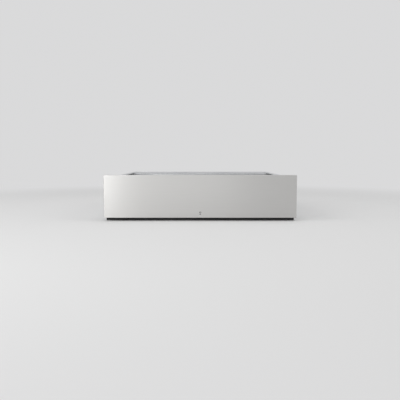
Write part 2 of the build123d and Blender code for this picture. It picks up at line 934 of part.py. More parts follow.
# Pump cover: slotted stainless sheet behind the lid hinge
with BuildPart() as pump_cover:
    with BuildSketch(level(deck_under)):
        with Locations((0, between(deck_back_y + seat_gap, drawer_back_y))):
            Rectangle(2 * drawer_half, drawer_back_y - deck_back_y - seat_gap)
            with slot_grid(slot_count):
                Rectangle(slot_length, slot_width, mode=Mode.SUBTRACT)
    extrude(amount=deck_sheet)
pump_cover.part.label = "pump_cover"
export_step(pump_cover.part, "parts/pump_cover.step")

# Vacuum chamber: deep-drawn tub with round corners, a bevelled floor edge and a flat rim below the deck
suction_z = deck_under - suction_drop
outer_floor_bevel = floor_bevel + chamber_sheet * (2 - math.sqrt(2))
with BuildPart() as chamber_hollow:
    with BuildSketch(level(deck_under)):
        with Locations((0, chamber_mid_y)):
            RectangleRounded(chamber_width, chamber_depth, chamber_corner)
    extrude(amount=-chamber_height)
    chamfer(chamber_hollow.faces().sort_by(Axis.Z)[0].edges(), floor_bevel)
with BuildPart() as vacuum_chamber:
    with BuildSketch(level(deck_under)):
        with Locations((0, chamber_mid_y)):
            RectangleRounded(
                chamber_width + 2 * chamber_sheet,
                chamber_depth + 2 * chamber_sheet,
                chamber_corner + chamber_sheet,
            )
    extrude(amount=-(chamber_height + chamber_sheet))
    chamfer(vacuum_chamber.faces().sort_by(Axis.Z)[0].edges(), outer_floor_bevel)
    with BuildSketch(level(deck_under)):
        with Locations((0, chamber_mid_y)):
            Rectangle(chamber_width + 2 * chamber_rim, chamber_depth + 2 * chamber_rim)
    extrude(amount=-chamber_sheet)
    add(chamber_hollow.part, mode=Mode.SUBTRACT)
    with BuildSketch(front_plane(chamber_back_y - chamber_sheet)):
        with Locations((suction_x, suction_z)):
            RegularPolygon(suction_neck, hose_sides)
    extrude(amount=-3 * chamber_sheet, mode=Mode.SUBTRACT)
vacuum_chamber.part.label = "vacuum_chamber"
export_step(vacuum_chamber.part, "parts/vacuum_chamber.step")

# Chamber gasket: silicone ring on the deck that the glass settles on
with BuildPart() as chamber_gasket:
    with BuildSketch(level(deck_top)):
        with Locations((0, chamber_mid_y)):
            RectangleRounded(
                chamber_width + 2 * (gasket_offset + gasket_width),
                chamber_depth + 2 * (gasket_offset + gasket_width),
                chamber_corner + gasket_offset + gasket_width,
            )
            RectangleRounded(
                chamber_width + 2 * gasket_offset,
                chamber_depth + 2 * gasket_offset,
                chamber_corner + gasket_offset,
                mode=Mode.SUBTRACT,
            )
    extrude(amount=gasket_height)
chamber_gasket.part.label = "chamber_gasket"
export_step(chamber_gasket.part, "parts/chamber_gasket.step")

# Suction port: slotted disc inside the chamber, with a neck and a nut outside its wall
with BuildPart() as suction_port:
    with BuildSketch(front_plane(chamber_back_y - suction_disc)):
        with Locations((suction_x, suction_z)):
            RegularPolygon(suction_radius, round_sides)
    extrude(amount=-suction_disc)
    with BuildSketch(front_plane(chamber_back_y - suction_disc)):
        with Locations((suction_x, suction_z)):
            with GridLocations(1, suction_slot_pitch, 1, 3):
                Rectangle(suction_slot_length, suction_slot_width)
    extrude(amount=-suction_slot_depth, mode=Mode.SUBTRACT)
    with BuildSketch(front_plane(chamber_back_y)):
        with Locations((suction_x, suction_z)):
            RegularPolygon(suction_neck, hose_sides)
    extrude(amount=-(chamber_sheet + suction_length))
    with BuildSketch(front_plane(chamber_back_y + chamber_sheet)):
        with Locations((suction_x, suction_z)):
            RegularPolygon(suction_nut, 6)
    extrude(amount=-suction_nut_height)
suction_port.part.label = "suction_port"
export_step(suction_port.part, "parts/suction_port.step")

# Sealing cylinders on the chamber floor, bored for the push rods
rod_places = [(-cylinder_spacing / 2, seal_y), (cylinder_spacing / 2, seal_y)]
with BuildPart() as seal_cylinders:
    with BuildSketch(level(floor_z)):
        with Locations(*rod_places):
            RegularPolygon(cylinder_radius, pin_sides)
    extrude(amount=cylinder_top - floor_z)
    with BuildSketch(level(cylinder_top)):
        with Locations(*rod_places):
            Circle(rod_radius + running_gap)
    extrude(amount=-(rod_depth + rod_bottom_gap), mode=Mode.SUBTRACT)
seal_cylinders.part.label = "seal_cylinders"
export_step(seal_cylinders.part, "parts/seal_cylinders.step")

# Push rods that lift the sealing bar
with BuildPart() as push_rods:
    with BuildSketch(level(cylinder_top - rod_depth)):
        with Locations(*rod_places):
            RegularPolygon(rod_radius, pin_sides)
    extrude(amount=seal_bottom - cylinder_top + rod_depth)
push_rods.part.label = "push_rods"
export_step(push_rods.part, "parts/push_rods.step")

# Sealing bar: moulded beam with a groove for the heating wire
with BuildPart() as seal_bar:
    with BuildSketch(level(seal_bottom)):
        with Locations((0, seal_y)):
            Rectangle(seal_length, seal_width)
    extrude(amount=seal_height)
    chamfer(
        seal_bar.faces().sort_by(Axis.Z)[0].edges().filter_by(Axis.X),
        seal_foot_chamfer,
    )
    with BuildSketch(level(seal_body_top)):
        with Locations((0, seal_y)):
            Rectangle(seal_length, wire_width)
    extrude(amount=-wire_height, mode=Mode.SUBTRACT)
seal_bar.part.label = "seal_bar"
export_step(seal_bar.part, "parts/seal_bar.step")

# Heating wire: flat band in the sealing bar's groove
with BuildPart() as seal_wire:
    with BuildSketch(level(seal_body_top)):
        with Locations((0, seal_y)):
            Rectangle(seal_length, wire_width)
    extrude(amount=-wire_height)
seal_wire.part.label = "seal_wire"
export_step(seal_wire.part, "parts/seal_wire.step")

# Sealing tape: non-stick strip over the wire
with BuildPart() as seal_tape:
    with BuildSketch(level(seal_body_top)):
        with Locations((0, seal_y)):
            Rectangle(seal_length, tape_width)
    extrude(amount=tape_height)
seal_tape.part.label = "seal_tape"
export_step(seal_tape.part, "parts/seal_tape.step")

# Lid glass: thick toughened pane with rounded corners and ground edges
with BuildPart() as lid_glass:
    with BuildSketch(level(lid_bottom)):
        with Locations((0, between(lid_front_y, lid_back_y))):
            RectangleRounded(glass_width, lid_back_y - lid_front_y, glass_corner)
    extrude(amount=glass_thickness)
    chamfer(lid_glass.faces().sort_by(Axis.Z)[-1].edges(), glass_chamfer)
lid_glass.part.label = "lid_glass"
export_step(lid_glass.part, "parts/lid_glass.step")

# Lid hinge profile: clamp along the glass's rear edge, with the hinge barrel behind it
clamp_mid_y = between(lid_back_y - clamp_depth, lid_back_y + clamp_sheet)
with BuildPart() as lid_hinge_profile:
    with BuildSketch(side_plane(-profile_half)):
        for jaw_z in (lid_top + clamp_sheet / 2, lid_bottom - clamp_sheet / 2):
            with Locations((clamp_mid_y, jaw_z)):
                Rectangle(clamp_depth + clamp_sheet, clamp_sheet)
        with Locations((lid_back_y + clamp_sheet / 2, between(lid_bottom, lid_top))):
            Rectangle(clamp_sheet, glass_thickness)
        with Locations((hinge_y, hinge_z)):
            Circle(barrel_radius)
            Circle(pin_radius + running_gap, mode=Mode.SUBTRACT)
    extrude(amount=2 * profile_half)
lid_hinge_profile.part.label = "lid_hinge_profile"
export_step(lid_hinge_profile.part, "parts/lid_hinge_profile.step")

# Hinge brackets at the barrel's ends: an eye round each pin and a foot screwed to the deck
with BuildPart() as hinge_brackets:
    for sign in side_signs.values():
        with BuildSketch(side_plane(sign * bracket_inner_x)):
            with Locations((hinge_y, hinge_z)):
                Circle(barrel_radius)
            with Locations((hinge_y + barrel_radius / 2, between(deck_top, hinge_z))):
                Rectangle(barrel_radius, hinge_z - deck_top)
            with Locations((hinge_y + bracket_foot / 2, deck_top + bracket_foot_height / 2)):
                Rectangle(bracket_foot, bracket_foot_height)
            with Locations((hinge_y, hinge_z)):
                RegularPolygon(pin_radius, pin_sides, mode=Mode.SUBTRACT)
        extrude(amount=sign * bracket_width)
    with BuildSketch(level(deck_top)):
        with Locations(*hinge_screw_places):
            RegularPolygon(screw_radius, screw_sides)
    extrude(amount=bracket_foot_height, mode=Mode.SUBTRACT)
hinge_brackets.part.label = "hinge_brackets"
export_step(hinge_brackets.part, "parts/hinge_brackets.step")

# Hinge pins: pressed into the brackets, running in the barrel's ends
with BuildPart() as hinge_pins:
    for sign in side_signs.values():
        with BuildSketch(side_plane(sign * bracket_outer_x)):
            with Locations((hinge_y, hinge_z)):
                RegularPolygon(pin_radius, pin_sides)
        extrude(amount=-sign * (bracket_width + bracket_gap + pin_reach))
hinge_pins.part.label = "hinge_pins"
export_step(hinge_pins.part, "parts/hinge_pins.step")

# Counter bar holder: channel under the glass above the sealing bar
holder_length = seal_length + seal_foot_chamfer
with BuildPart() as counter_holder:
    with BuildSketch(level(holder_bottom)):
        with Locations((0, seal_y)):
            Rectangle(holder_length, holder_width)
    extrude(amount=holder_height)
    with BuildSketch(level(holder_bottom)):
        with Locations((0, seal_y)):
            Rectangle(holder_length, counter_width)
    extrude(amount=counter_height - counter_drop, mode=Mode.SUBTRACT)
counter_holder.part.label = "counter_holder"
export_step(counter_holder.part, "parts/counter_holder.step")

# Counter bar: soft strip in the holder's groove
with BuildPart() as counter_bar:
    with BuildSketch(level(counter_bottom)):
        with Locations((0, seal_y)):
            Rectangle(holder_length, counter_width)
    extrude(amount=counter_height)
    fillet(counter_bar.faces().sort_by(Axis.Z)[0].edges().filter_by(Axis.X), counter_drop)
counter_bar.part.label = "counter_bar"
export_step(counter_bar.part, "parts/counter_bar.step")

# Lid handle: grip rail clamped on the glass's front edge
with BuildPart() as lid_handle:
    with BuildSketch(side_plane(-handle_width / 2)):
        with BuildLine():
            Polyline(
                (lid_front_y - handle_lip, lid_bottom - clamp_sheet),
                (lid_front_y + handle_under, lid_bottom - clamp_sheet),
                (lid_front_y + handle_under, lid_bottom),
                (lid_front_y, lid_bottom),
                (lid_front_y, lid_top),
                (lid_front_y + handle_grip, lid_top),
                (lid_front_y + handle_grip, lid_top + clamp_sheet),
                (lid_front_y - handle_lip, lid_top + clamp_sheet),
                (lid_front_y - handle_lip, lid_top - clamp_sheet),
                (lid_front_y - clamp_sheet, lid_top - clamp_sheet),
                (lid_front_y - clamp_sheet, lid_bottom + clamp_sheet),
                (lid_front_y - handle_lip, lid_bottom + clamp_sheet),
                close=True,
            )
        make_face()
    extrude(amount=handle_width)
lid_handle.part.label = "lid_handle"
export_step(lid_handle.part, "parts/lid_handle.step")

# Control glass: black touch pane on the front strip of the deck
with BuildPart() as control_glass:
    with BuildSketch(level(deck_top)):
        with Locations((0, control_y)):
            Rectangle(control_width, control_depth)
    extrude(amount=control_thickness)
    chamfer(control_glass.faces().sort_by(Axis.Z)[-1].edges(), control_chamfer)
control_glass.part.label = "control_glass"
export_step(control_glass.part, "parts/control_glass.step")

# Control board: touch board under the deck, with its standoffs and the display in the window
with BuildPart() as control_board:
    with BuildSketch(level(deck_under - standoff_height)):
        with Locations((0, control_y)):
            Rectangle(control_width - 2 * board_margin, control_depth)
    extrude(amount=-board_thickness)
    with BuildSketch(level(deck_under - standoff_height)):
        with Locations((0, control_y)):
            with GridLocations(
                control_width - 2 * board_margin - 2 * standoff_inset,
                control_depth - 2 * standoff_inset,
                2,
                2,
            ):
                RegularPolygon(standoff_radius, 6)
    extrude(amount=standoff_height)
    with BuildSketch(level(deck_under - standoff_height)):
        with Locations((0, control_y)):
            Rectangle(window_width - 2 * seat_gap, window_depth - 2 * seat_gap)
    extrude(amount=standoff_height + deck_sheet)
    with BuildSketch(level(deck_under - standoff_height - board_thickness)):
        with Locations((connector_x, control_y)):
            Rectangle(connector_width, connector_depth)
    extrude(amount=-connector_height)
control_board.part.label = "control_board"
export_step(control_board.part, "parts/control_board.step")

# Power board: flat board on hexagonal standoffs, with relays, a capacitor and a finned heat sink
board_x = -bay_x
board_under = base_top + standoff_height
board_top = board_under + board_thickness
heat_sink_pitch = (heat_sink_width - heat_sink_fin) / (heat_sink_fins - 1)
with BuildPart() as power_board:
    with BuildSketch(level(base_top)):
        with Locations((board_x, power_board_y)):
            with GridLocations(
                power_board_width - 2 * standoff_inset,
                power_board_length - 2 * standoff_inset,
                2,
                2,
            ):
                RegularPolygon(standoff_radius, 6)
    extrude(amount=standoff_height)
    with BuildSketch(level(board_under)):
        with Locations((board_x, power_board_y)):
            Rectangle(power_board_width, power_board_length)
    extrude(amount=board_thickness)
    with BuildSketch(level(board_top)):
        with Locations((board_x - board_column, power_board_y)):
            with GridLocations(1, relay_pitch, 1, relay_count):
                Rectangle(relay_width, relay_length)
    extrude(amount=relay_height)
    with BuildSketch(level(board_top)):
        with Locations((board_x + board_column, power_board_y + capacitor_shift)):
            RegularPolygon(capacitor_radius, pin_sides)
    extrude(amount=capacitor_height)
    with BuildSketch(level(board_top)):
        with Locations((board_x + board_column, power_board_y)):
            Rectangle(heat_sink_width, heat_sink_length)
    extrude(amount=heat_sink_base)
    with BuildSketch(level(board_top + heat_sink_base)):
        with Locations((board_x + board_column, power_board_y)):
            with GridLocations(heat_sink_pitch, 1, heat_sink_fins, 1):
                Rectangle(heat_sink_fin, heat_sink_length)
    extrude(amount=heat_sink_height - heat_sink_base)
power_board.part.label = "power_board"
export_step(power_board.part, "parts/power_board.step")

# Transformer: laminated core with a wound former through it
with BuildPart() as transformer:
    with BuildSketch(level(base_top)):
        with Locations((board_x, transformer_y)):
            Rectangle(core_width, core_depth)
    extrude(amount=core_height)
    with BuildSketch(level(base_top + (core_height - coil_height) / 2)) as coil:
        with Locations((board_x, transformer_y)):
            Rectangle(coil_width, core_depth + 2 * coil_proud)
        chamfer(coil.vertices(), coil_chamfer)
    extrude(amount=coil_height)
transformer.part.label = "transformer"
export_step(transformer.part, "parts/transformer.step")

# Port for outside vessels: flanged tube through the deck, with two ears for the cap
port_top_z = deck_top + port_flange_height
port_bottom_z = port_top_z - port_length
cap_pivot_y = port_y + cap_arm
cap_pivot_z = port_top_z + cap_knuckle - port_flange_height / 2
ear_span = cap_knuckle_width + 2 * (cap_ear_width + seat_gap)
with BuildPart() as external_port:
    with BuildSketch(level(deck_top)):
        with Locations((port_x, port_y)):
            RegularPolygon(port_flange, round_sides)
        with Locations((port_x, between(port_y, cap_pivot_y))):
            Rectangle(ear_span, cap_arm)
    extrude(amount=port_flange_height)
    with BuildSketch(level(port_bottom_z)):
        with Locations((port_x, port_y)):
            RegularPolygon(port_tube, pin_sides, rotation=180 / pin_sides)
    extrude(amount=port_length)
    with BuildSketch(side_plane(port_x - ear_span / 2)):
        with Locations((cap_pivot_y, cap_pivot_z)):
            RegularPolygon(cap_knuckle, screw_sides, rotation=180 / screw_sides)
        with Locations((cap_pivot_y, between(deck_top, cap_pivot_z))):
            Rectangle(2 * cap_knuckle, cap_pivot_z - deck_top)
    extrude(amount=ear_span)
    with BuildSketch(level(deck_top)):
        with Locations((port_x, cap_pivot_y)):
            Rectangle(ear_span - 2 * cap_ear_width, 2 * (cap_knuckle + seat_gap))
    extrude(amount=port_length, mode=Mode.SUBTRACT)
    with BuildSketch(side_plane(port_x - ear_span / 2)):
        with Locations((cap_pivot_y, cap_pivot_z)):
            RegularPolygon(cap_pin, screw_sides)
    extrude(amount=ear_span)
    with BuildSketch(level(port_bottom_z)):
        with Locations((port_x, port_y)):
            Circle(port_bore)
    extrude(amount=port_length, mode=Mode.SUBTRACT)
    with Locations((port_x, port_y, port_top_z - port_seat_depth / 2)):
        Cone(port_bore, port_seat_radius, port_seat_depth, mode=Mode.SUBTRACT)
external_port.part.label = "external_port"
export_step(external_port.part, "parts/external_port.step")

# Port cap: flip cap with a sealing nub, on the port's moulded pin
cap_bottom_z = port_top_z + seat_gap
with BuildPart() as port_cap:
    with BuildSketch(level(cap_bottom_z)):
        with Locations((port_x, port_y)):
            RegularPolygon(cap_radius, round_sides)
    extrude(amount=cap_height)
    with BuildSketch(level(cap_bottom_z)):
        with Locations((port_x, port_y)):
            RegularPolygon(cap_nub, pin_sides)
    extrude(amount=-cap_nub_height)
    with BuildSketch(side_plane(port_x - cap_knuckle_width / 2)):
        with Locations((between(port_y, cap_pivot_y), cap_bottom_z + cap_height / 2)):
            Rectangle(cap_arm, cap_height)
        with Locations((cap_pivot_y, cap_pivot_z)):
            Circle(cap_knuckle)
    extrude(amount=cap_knuckle_width)
    with BuildSketch(side_plane(port_x - cap_knuckle_width / 2)):
        with Locations((cap_pivot_y, cap_pivot_z)):
            Circle(cap_pin + running_gap)
    extrude(amount=cap_knuckle_width, mode=Mode.SUBTRACT)
port_cap.part.label = "port_cap"
export_step(port_cap.part, "parts/port_cap.step")

# Pump motor: finned can between two plain end bells
with BuildPart() as pump_motor:
    with BuildSketch(side_plane(pump_x)):
        with Locations((pump_y, motor_z)):
            RegularPolygon(motor_radius, motor_fins)
            with PolarLocations(motor_radius, motor_fins):
                Rectangle(2 * motor_fin, motor_fin_width)
    extrude(amount=motor_length)
    with BuildSketch(side_plane(pump_x)):
        with Locations((pump_y, motor_z)):
            RegularPolygon(bell_radius, round_sides)
    extrude(amount=-bell_length)
pump_motor.part.label = "pump_motor"
export_step(pump_motor.part, "parts/pump_motor.step")

# Pump head: crankcase with a finned cylinder on top, two feet and the exhaust filter
crank_mid_x = between(crank_x, crank_end_x)
crank_top_z = motor_z + crank_height / 2
head_height = deck_under - head_gap - crank_top_z
with BuildPart() as pump_head:
    with BuildSketch(side_plane(crank_x)):
        with Locations((pump_y, motor_z)):
            Rectangle(crank_depth, crank_height)
    extrude(amount=crank_length)
    chamfer(pump_head.edges().filter_by(Axis.X), crank_chamfer)
    with BuildSketch(level(crank_top_z)):
        with Locations((crank_mid_x, pump_y)):
            Rectangle(head_width, head_width)
    extrude(amount=head_height)
    for fin in range(head_fins):
        fin_z = crank_top_z + (fin + 0.5) * head_height / head_fins - motor_fin_width / 2
        with BuildSketch(level(fin_z)):
            with Locations((crank_mid_x, pump_y)):
                Rectangle(head_width + 2 * head_fin, head_width + 2 * head_fin)
        extrude(amount=motor_fin_width)
    with BuildSketch(level(plate_top)):
        with Locations((crank_mid_x, pump_y)):
            with GridLocations(crank_length - pump_foot, 1, 2, 1):
                Rectangle(pump_foot, crank_depth - pump_foot)
    extrude(amount=motor_z - plate_top)
    with BuildSketch(level(motor_z - filter_length / 2)):
        with Locations((crank_end_x + filter_neck + filter_radius, pump_y)):
            RegularPolygon(filter_radius, pin_sides)
    extrude(amount=filter_length)
    with BuildSketch(side_plane(crank_end_x)):
        with Locations((pump_y, motor_z)):
            RegularPolygon(filter_neck_radius, hose_sides)
    extrude(amount=filter_neck + filter_radius)
pump_head.part.label = "pump_head"
export_step(pump_head.part, "parts/pump_head.step")

# Pump bracket: plate with two saddles under the finned can
bracket_start_x = pump_x - bell_length
mount_inset = mount_radius + bracket_sheet
with BuildPart() as pump_bracket:
    with BuildSketch(level(mount_top)):
        with Locations((between(bracket_start_x, crank_end_x), pump_y)):
            Rectangle(crank_end_x - bracket_start_x, 2 * motor_radius)
    extrude(amount=bracket_sheet)
    for saddle_x in (pump_x + saddle_width, crank_x - 2 * saddle_width):
        with BuildSketch(side_plane(saddle_x)):
            with Locations((pump_y, between(plate_top, motor_z))):
                Rectangle(saddle_depth, motor_z - plate_top)
            with Locations((pump_y, motor_z)):
                Circle(motor_radius + motor_fin + seat_gap, mode=Mode.SUBTRACT)
        extrude(amount=saddle_width)
pump_bracket.part.label = "pump_bracket"
export_step(pump_bracket.part, "parts/pump_bracket.step")

# Pump mounts: four rubber blocks that keep the pump's shake out of the drawer
with BuildPart() as pump_mounts:
    with BuildSketch(level(base_top)):
        with Locations((between(bracket_start_x, crank_end_x), pump_y)):
            with GridLocations(
                crank_end_x - bracket_start_x - 2 * mount_inset,
                2 * (motor_radius - mount_inset),
                2,
                2,
            ):
                RegularPolygon(mount_radius, mount_sides)
    extrude(amount=mount_height)
pump_mounts.part.label = "pump_mounts"
export_step(pump_mounts.part, "parts/pump_mounts.step")

# Valve block: drilled block with two upright solenoids
with BuildPart() as valve_block:
    with BuildSketch(level(base_top)):
        with Locations((valve_x, pump_y)):
            Rectangle(valve_width, valve_depth)
    extrude(amount=valve_height)
    chamfer(valve_block.edges().filter_by(Axis.Z), valve_chamfer)
    with BuildSketch(level(base_top + valve_height)):
        with Locations((valve_x, pump_y)):
            with GridLocations(solenoid_pitch, 1, 2, 1):
                Rectangle(solenoid_width, solenoid_width)
    extrude(amount=solenoid_height)
valve_block.part.label = "valve_block"
export_step(valve_block.part, "parts/valve_block.step")

# Vacuum hoses: chamber to valve block, port to valve block and valve block to pump
valve_front_y = pump_y - valve_depth / 2
valve_mid_z = base_top + valve_height / 2
suction_end_y = chamber_back_y + chamber_sheet + suction_length
port_lane_z = port_bottom_z - hose_bend - hose_straight
suction_lane_y = valve_front_y - hose_bend - hose_straight
chamber_route = [
    (suction_x, suction_end_y, suction_z),
    (suction_x, suction_lane_y, suction_z),
    (suction_x, suction_lane_y, valve_mid_z),
    (suction_x, valve_front_y, valve_mid_z),
]
port_route = [
    (port_x, port_y, port_bottom_z),
    (port_x, port_y, port_lane_z),
    (port_x, hose_lane_y, port_lane_z),
    (port_valve_x, hose_lane_y, port_lane_z),
    (port_valve_x, hose_lane_y, valve_mid_z),
    (port_valve_x, valve_front_y, valve_mid_z),
]
with BuildPart() as vacuum_hoses:
    for route in (chamber_route, port_route):
        with BuildLine() as hose_line:
            FilletPolyline(*route, radius=hose_bend)
        with BuildSketch(Plane(origin=route[0], z_dir=Vector(*route[1]) - Vector(*route[0]))):
            RegularPolygon(hose_radius, hose_sides)
        sweep(path=hose_line.line)
    with BuildSketch(side_plane(crank_end_x)):
        with Locations((pump_y, valve_mid_z)):
            RegularPolygon(hose_radius, hose_sides)
    extrude(amount=valve_x - valve_width / 2 - crank_end_x)
vacuum_hoses.part.label = "vacuum_hoses"
export_step(vacuum_hoses.part, "parts/vacuum_hoses.step")

# Fan frame: square duct on the drawer's rear wall, with the motor base on three struts
fan_back_y = drawer_back_y - drawer_sheet
fan_front_y = fan_back_y - fan_depth
with BuildPart() as fan_frame:
    with BuildSketch(front_plane(fan_front_y)) as duct:
        with Locations((fan_x, fan_z)):
            Rectangle(fan_size, fan_size)
            chamfer(duct.vertices(), fan_corner)
            RegularPolygon(fan_bore, round_sides, mode=Mode.SUBTRACT)
    extrude(amount=-fan_depth)
    with BuildSketch(front_plane(fan_back_y - fan_base)):
        with Locations((fan_x, fan_z)):
            RegularPolygon(hub_radius, pin_sides)
            with PolarLocations(between(hub_radius, fan_bore), 3):
                Rectangle(fan_bore - hub_radius + fan_strut, fan_strut)
            Circle(shaft_radius + running_gap, mode=Mode.SUBTRACT)
    extrude(amount=-fan_base)
fan_frame.part.label = "fan_frame"
export_step(fan_frame.part, "parts/fan_frame.step")

# Fan rotor: hub, shaft and pitched blades with a curved section
hub_back_y = fan_back_y - fan_base - seat_gap
hub_mid_y = hub_back_y - hub_depth / 2
blade_root_radius = hub_radius - blade_seat
blade_start = (fan_x + blade_root_radius, hub_mid_y, fan_z)
with BuildPart() as fan_blade:
    with BuildSketch(Plane(origin=blade_start, x_dir=(0, 1, 0), z_dir=(1, 0, 0))):
        with BuildLine(Plane.XY.rotated((0, 0, 90 - blade_pitch))):
            SagittaArc((-blade_chord / 2, 0), (blade_chord / 2, 0), blade_camber)
        trace(line_width=blade_thickness)
    extrude(amount=fan_bore - blade_gap - blade_root_radius)
with BuildPart() as fan_rotor:
    with BuildSketch(front_plane(hub_back_y)):
        with Locations((fan_x, fan_z)):
            RegularPolygon(hub_radius, round_sides)
    extrude(amount=hub_depth)
    with BuildSketch(front_plane(hub_back_y)):
        with Locations((fan_x, fan_z)):
            RegularPolygon(shaft_radius, screw_sides)
    extrude(amount=-(fan_base + seat_gap))
    for blade in range(blade_count):
        add(fan_blade.part.rotate(Axis((fan_x, 0, fan_z), (0, 1, 0)), blade * 360 / blade_count))
fan_rotor.part.label = "fan_rotor"
export_step(fan_rotor.part, "parts/fan_rotor.step")

# Push latch: body on the housing's rear wall, with the pressed-in plunger facing the striker
latch_front_y = rear_wall_y - latch_depth
plunger_tip_y = drawer_back_y + striker_sheet + press_in + seat_gap
with BuildPart() as push_latch_body:
    with BuildSketch(front_plane(latch_front_y)):
        with Locations((0, slide_z)):
            Rectangle(latch_width, latch_height)
    extrude(amount=-latch_depth)
    with BuildSketch(front_plane(latch_front_y)):
        with Locations((0, slide_z)):
            RegularPolygon(plunger_radius + running_gap, screw_sides)
    extrude(amount=-plunger_bore_depth, mode=Mode.SUBTRACT)
push_latch_body.part.label = "push_latch_body"
export_step(push_latch_body.part, "parts/push_latch_body.step")

with BuildPart() as push_latch_plunger:
    with BuildSketch(front_plane(plunger_tip_y)):
        with Locations((0, slide_z)):
            RegularPolygon(plunger_radius, screw_sides)
    extrude(amount=-(latch_front_y + plunger_bore_depth - plunger_tip_y))
push_latch_plunger.part.label = "push_latch_plunger"
export_step(push_latch_plunger.part, "parts/push_latch_plunger.step")

# Drawer screws: four through the front tabs into the core, four through the hinge brackets
tab_back_y = drawer_front_y + drawer_sheet
foot_top_z = deck_top + bracket_foot_height
with BuildPart() as drawer_screws:
    with BuildSketch(front_plane(tab_back_y)):
        with Locations(*front_screw_places):
            RegularPolygon(screw_head, 6)
    extrude(amount=-screw_head_height)
    with BuildSketch(front_plane(tab_back_y)):
        with Locations(*front_screw_places):
            RegularPolygon(screw_radius, screw_sides)
    extrude(amount=drawer_sheet + carrier_sheet + screw_reach)
    with BuildSketch(level(foot_top_z)):
        with Locations(*hinge_screw_places):
            RegularPolygon(screw_head, 6)
    extrude(amount=screw_head_height)
    with BuildSketch(level(foot_top_z)):
        with Locations(*hinge_screw_places):
            RegularPolygon(screw_radius, screw_sides)
    extrude(amount=-screw_reach)
drawer_screws.part.label = "drawer_screws"
export_step(drawer_screws.part, "parts/drawer_screws.step")
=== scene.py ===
import math

import bmesh
import bpy
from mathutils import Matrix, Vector


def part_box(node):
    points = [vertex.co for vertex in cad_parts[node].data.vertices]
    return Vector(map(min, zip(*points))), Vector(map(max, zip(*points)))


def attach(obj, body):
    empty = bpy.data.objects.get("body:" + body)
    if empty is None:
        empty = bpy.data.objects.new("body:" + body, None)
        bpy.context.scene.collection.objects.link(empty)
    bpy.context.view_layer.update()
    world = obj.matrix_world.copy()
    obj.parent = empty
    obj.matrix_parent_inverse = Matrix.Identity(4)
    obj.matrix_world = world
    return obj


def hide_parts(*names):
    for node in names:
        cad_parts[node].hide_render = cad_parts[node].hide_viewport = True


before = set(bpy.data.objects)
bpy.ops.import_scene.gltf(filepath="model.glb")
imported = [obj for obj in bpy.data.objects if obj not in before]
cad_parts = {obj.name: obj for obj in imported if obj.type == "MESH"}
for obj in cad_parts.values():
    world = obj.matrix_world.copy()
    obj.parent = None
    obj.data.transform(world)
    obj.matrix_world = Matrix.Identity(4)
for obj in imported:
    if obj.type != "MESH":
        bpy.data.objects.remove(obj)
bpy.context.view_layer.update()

# The view: a camera a metre and a half in front of the closed panel, a little above it,
# tipped down by five degrees, with a lens of 45 mm on a 36 mm sensor.
lens, sensor, picture_width = 45, 36, 400
focal_pixels = lens / sensor * picture_width
view_distance = 1.540
view_tilt = math.radians(4.86)
aim_right = 0.24 / focal_pixels
aim_up = 3.45 / focal_pixels
line_tilt = view_tilt - math.atan(aim_up)
face_low, face_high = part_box("front_panel")
face_middle = Vector((0, face_low.y, (face_low.z + face_high.z) / 2))
towards_camera = Vector((-aim_right, -math.cos(line_tilt), math.sin(line_tilt)))
bpy.ops.object.camera_add(
    location=face_middle + view_distance * towards_camera,
    rotation=(math.pi / 2 - view_tilt, 0, 0),
)
camera = bpy.context.object
camera.data.lens = lens
camera.data.sensor_width = sensor
bpy.context.scene.camera = camera

# The studio: a pale floor, an even pale surround, a tall soft lamp close on the left, a wide
# one behind the camera, and softer ones from both sides and from above.
bpy.context.scene.view_settings.view_transform = "Standard"


def add_node(tree, kind, **values):
    """New shader node with values on its inputs, whose names take _ for a space."""
    node = tree.nodes.new(f"ShaderNode{kind}")
    for socket, value in values.items():
        node.inputs[socket.replace("_", " ")].default_value = value
    return node


def new_finish(name, metallic=0.0, roughness=0.5, more=()):
    """Finish with its node tree, its shader and the piece's own coordinates."""
    finish = bpy.data.materials.new(name)
    finish.use_nodes = True
    tree = finish.node_tree
    shader = tree.nodes["Principled BSDF"]
    for socket, value in (("Metallic", metallic), ("Roughness", roughness), *more):
        shader.inputs[socket].default_value = value
    place = add_node(tree, "TexCoord").outputs["Object"]
    return finish, tree, shader, place


def grain(tree, place, scale, detail=3.0):
    """Noise with its own scale along each axis, in cells a metre."""
    stretch = add_node(tree, "Mapping", Scale=scale)
    noise = add_node(tree, "TexNoise", Scale=1.0, Detail=detail)
    tree.links.new(place, stretch.inputs["Vector"])
    tree.links.new(stretch.outputs["Vector"], noise.inputs["Vector"])
    return noise.outputs["Fac"]


def tint(tree, shader, amount, dark, light, low=0.3, high=0.7):
    """Base colour that runs from dark to light as the amount rises."""
    ramp = add_node(tree, "ValToRGB")
    for stop, position, colour in zip(ramp.color_ramp.elements, (low, high), (dark, light)):
        stop.position = position
        stop.color = (*colour, 1)
    tree.links.new(amount, ramp.inputs["Fac"])
    tree.links.new(ramp.outputs["Color"], shader.inputs["Base Color"])


def combine(tree, operation, one, other):
    """Result of a sum on two values."""
    maths = add_node(tree, "Math")
    maths.operation = operation
    tree.links.new(one, maths.inputs[0])
    tree.links.new(other, maths.inputs[1])
    return maths.outputs["Value"]


def seen_ray(tree):
    """1 for a ray from the camera, off metal or through glass, and 0 for one that only lights."""
    ray = add_node(tree, "LightPath")
    shown = combine(tree, "MAXIMUM", ray.outputs["Is Camera Ray"], ray.outputs["Is Glossy Ray"])
    return combine(tree, "MAXIMUM", shown, ray.outputs["Is Transmission Ray"])


def blend(tree, amount, first, second, output):
    """Shows the first shader where the amount is 0, and the second where it is 1."""
    mix = add_node(tree, "MixShader")
    tree.links.new(amount, mix.inputs["Fac"])
    tree.links.new(first, mix.inputs[1])
    tree.links.new(second, mix.inputs[2])
    tree.links.new(mix.outputs["Shader"], tree.nodes[output].inputs["Surface"])


